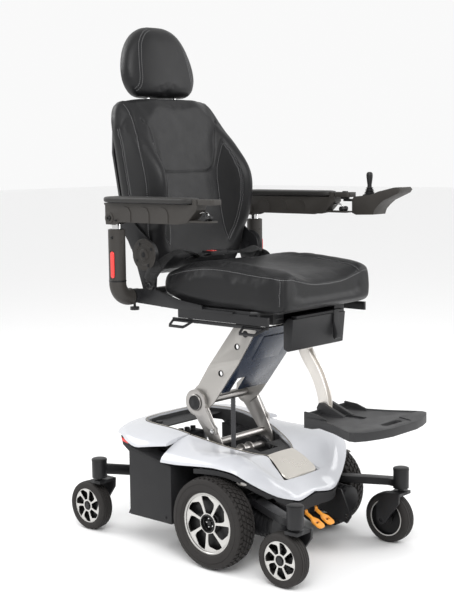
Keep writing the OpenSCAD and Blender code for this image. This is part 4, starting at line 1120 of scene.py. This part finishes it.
def rim_lines():
    """The thin double line round the opening for the lift."""
    for label, points in (("front", RIM_FRONT), ("rear", RIM_REAR)):
        for side, sign in SIDES:
            for k, inset in enumerate((0, 3.4)):
                line = [mm(sign * (x + inset), y + inset * 0.3, z + 0.1) for x, y, z in spline(
                    [Vector(p) for p in points], 6)]
                place(tube(f"rim_line_{label}_{side}_{k}", line, 0.0009, 6), "base",
                      "rim_line" if k == 0 else "dark", "panel_silver")


def base_details():
    for side, sign in SIDES:
        spot = mm(sign * 246, -96, 262)
        badge = loft(f"trim_badge_{side}", [[spot + Vector((sign * (0.004 + d), 0.019 * math.cos(a) * k, 0.0052
                     * math.sin(a) * k)) for a in [2 * math.pi * i / 28 for i in range(28)]]
                     for d, k in ((0.0, 1), (0.0018, 1), (0.0026, 0.86))])
        place(badge, "base", "satin", "lift_silver")
        for end, body, x, y, z in (("front", f"front_swing_arm_{side}", 259.5, -298, 236),
                                   ("rear", "base", 236.5, 518, 233)):
            cap = lathe_z(f"{end}_stem_cap_{side}", [(24.6, -4), (25, 0), (24.2, 3), (21.5, 4.6), (10, 5.2), (0.2, 5.4)],
                          mm(sign * x, y, z - 0.6))
            place(cap, body, "stick", "frame_black")
        lid = loft(f"battery_lid_line_{side}", [[mm(sign * x, y, z) for y, z in (
            (156, 274), (324, 307), (324, 309), (156, 276))] for x in (284.6, 285.8)], smooth=False)
        place(lid, "base", "dark", "battery_plastic")
        latch = loft(f"battery_screw_{side}", [[mm(sign * x, 176 + 5 * k * math.cos(a), 118 + 5 * k * math.sin(a))
                     for a in [2 * math.pi * i / 18 for i in range(18)]] for x, k in ((284.8, 1), (286.2, 1), (286.8, 0.8))])
        place(latch, "base", "dark", "battery_plastic")


# ---------------------------------------------------------------- carried-over CAD nodes
SOFTENED = {
    "seat_base": 0.001, "front_box": 0.0022, "foot_hanger": 0.0016, "foot_platform": 0.0028, "seat_pan": 0.0011,
    "release_lever": 0.0012, "back_frame": 0.0016, "lift_arm": 0.0010, "lift_arm_cover": 0.0010,
    "link_covers": 0.0020, "lift_link": 0.0010, "battery_box_right": 0.0028, "battery_box_left": 0.0028,
    "base_frame": 0.0012, "rear_caster_beam": 0.0010, "gearmotors": 0.0012, "joystick_housing": 0.0050,
    "joystick_mount": 0.0010, "arm_skirt_right": 0.0020, "arm_skirt_left": 0.0020, "front_panel": 0.0005,
    "front_arm_right": 0.0050, "front_arm_left": 0.0050, "front_fork_right": 0.0024, "front_fork_left": 0.0024,
    "rear_fork_right": 0.0024, "rear_fork_left": 0.0024, "drive_rim_right": 0.0008, "drive_rim_left": 0.0008,
    "ramp_cover": 0.0010, "freewheel_lever_right": 0.0010, "freewheel_lever_left": 0.0010,
    "arm_reflectors": 0.0006, "belt_button": 0.0010, "tail_lights": 0.0005, "actuator_body": 0.001,
    "arm_post_right": 0.0006, "arm_post_left": 0.0006,
}


def dress_nodes():
    slots = {p["node"]: p["material_slot"] for p in frame["record"]["subparts"]}
    for name, obj in nodes.items():
        look(obj, LOOK_OF_SLOT[slots[name]])
        if name in SOFTENED:
            soften(obj, SOFTENED[name])


make_camera()
make_stage()
dress_nodes()
for side_name, side_sign in SIDES:
    drive_wheel(side_name, side_sign)
    for end_name in ("front", "rear"):
        caster_wheel(end_name, side_name, side_sign)
    arm_pad(side_name, side_sign)
    arm_details(side_name, side_sign)
    reflector_and_holes(side_name, side_sign)
seat_cushion()
back_cushion()
headrest()
lap_belt()
joystick()
conduit()
lift_details()
shroud("shroud_front_shell", "shroud_front")
shroud("shroud_rear_shell", "shroud_rear")
rim_lines()
nose_plate()
base_details()
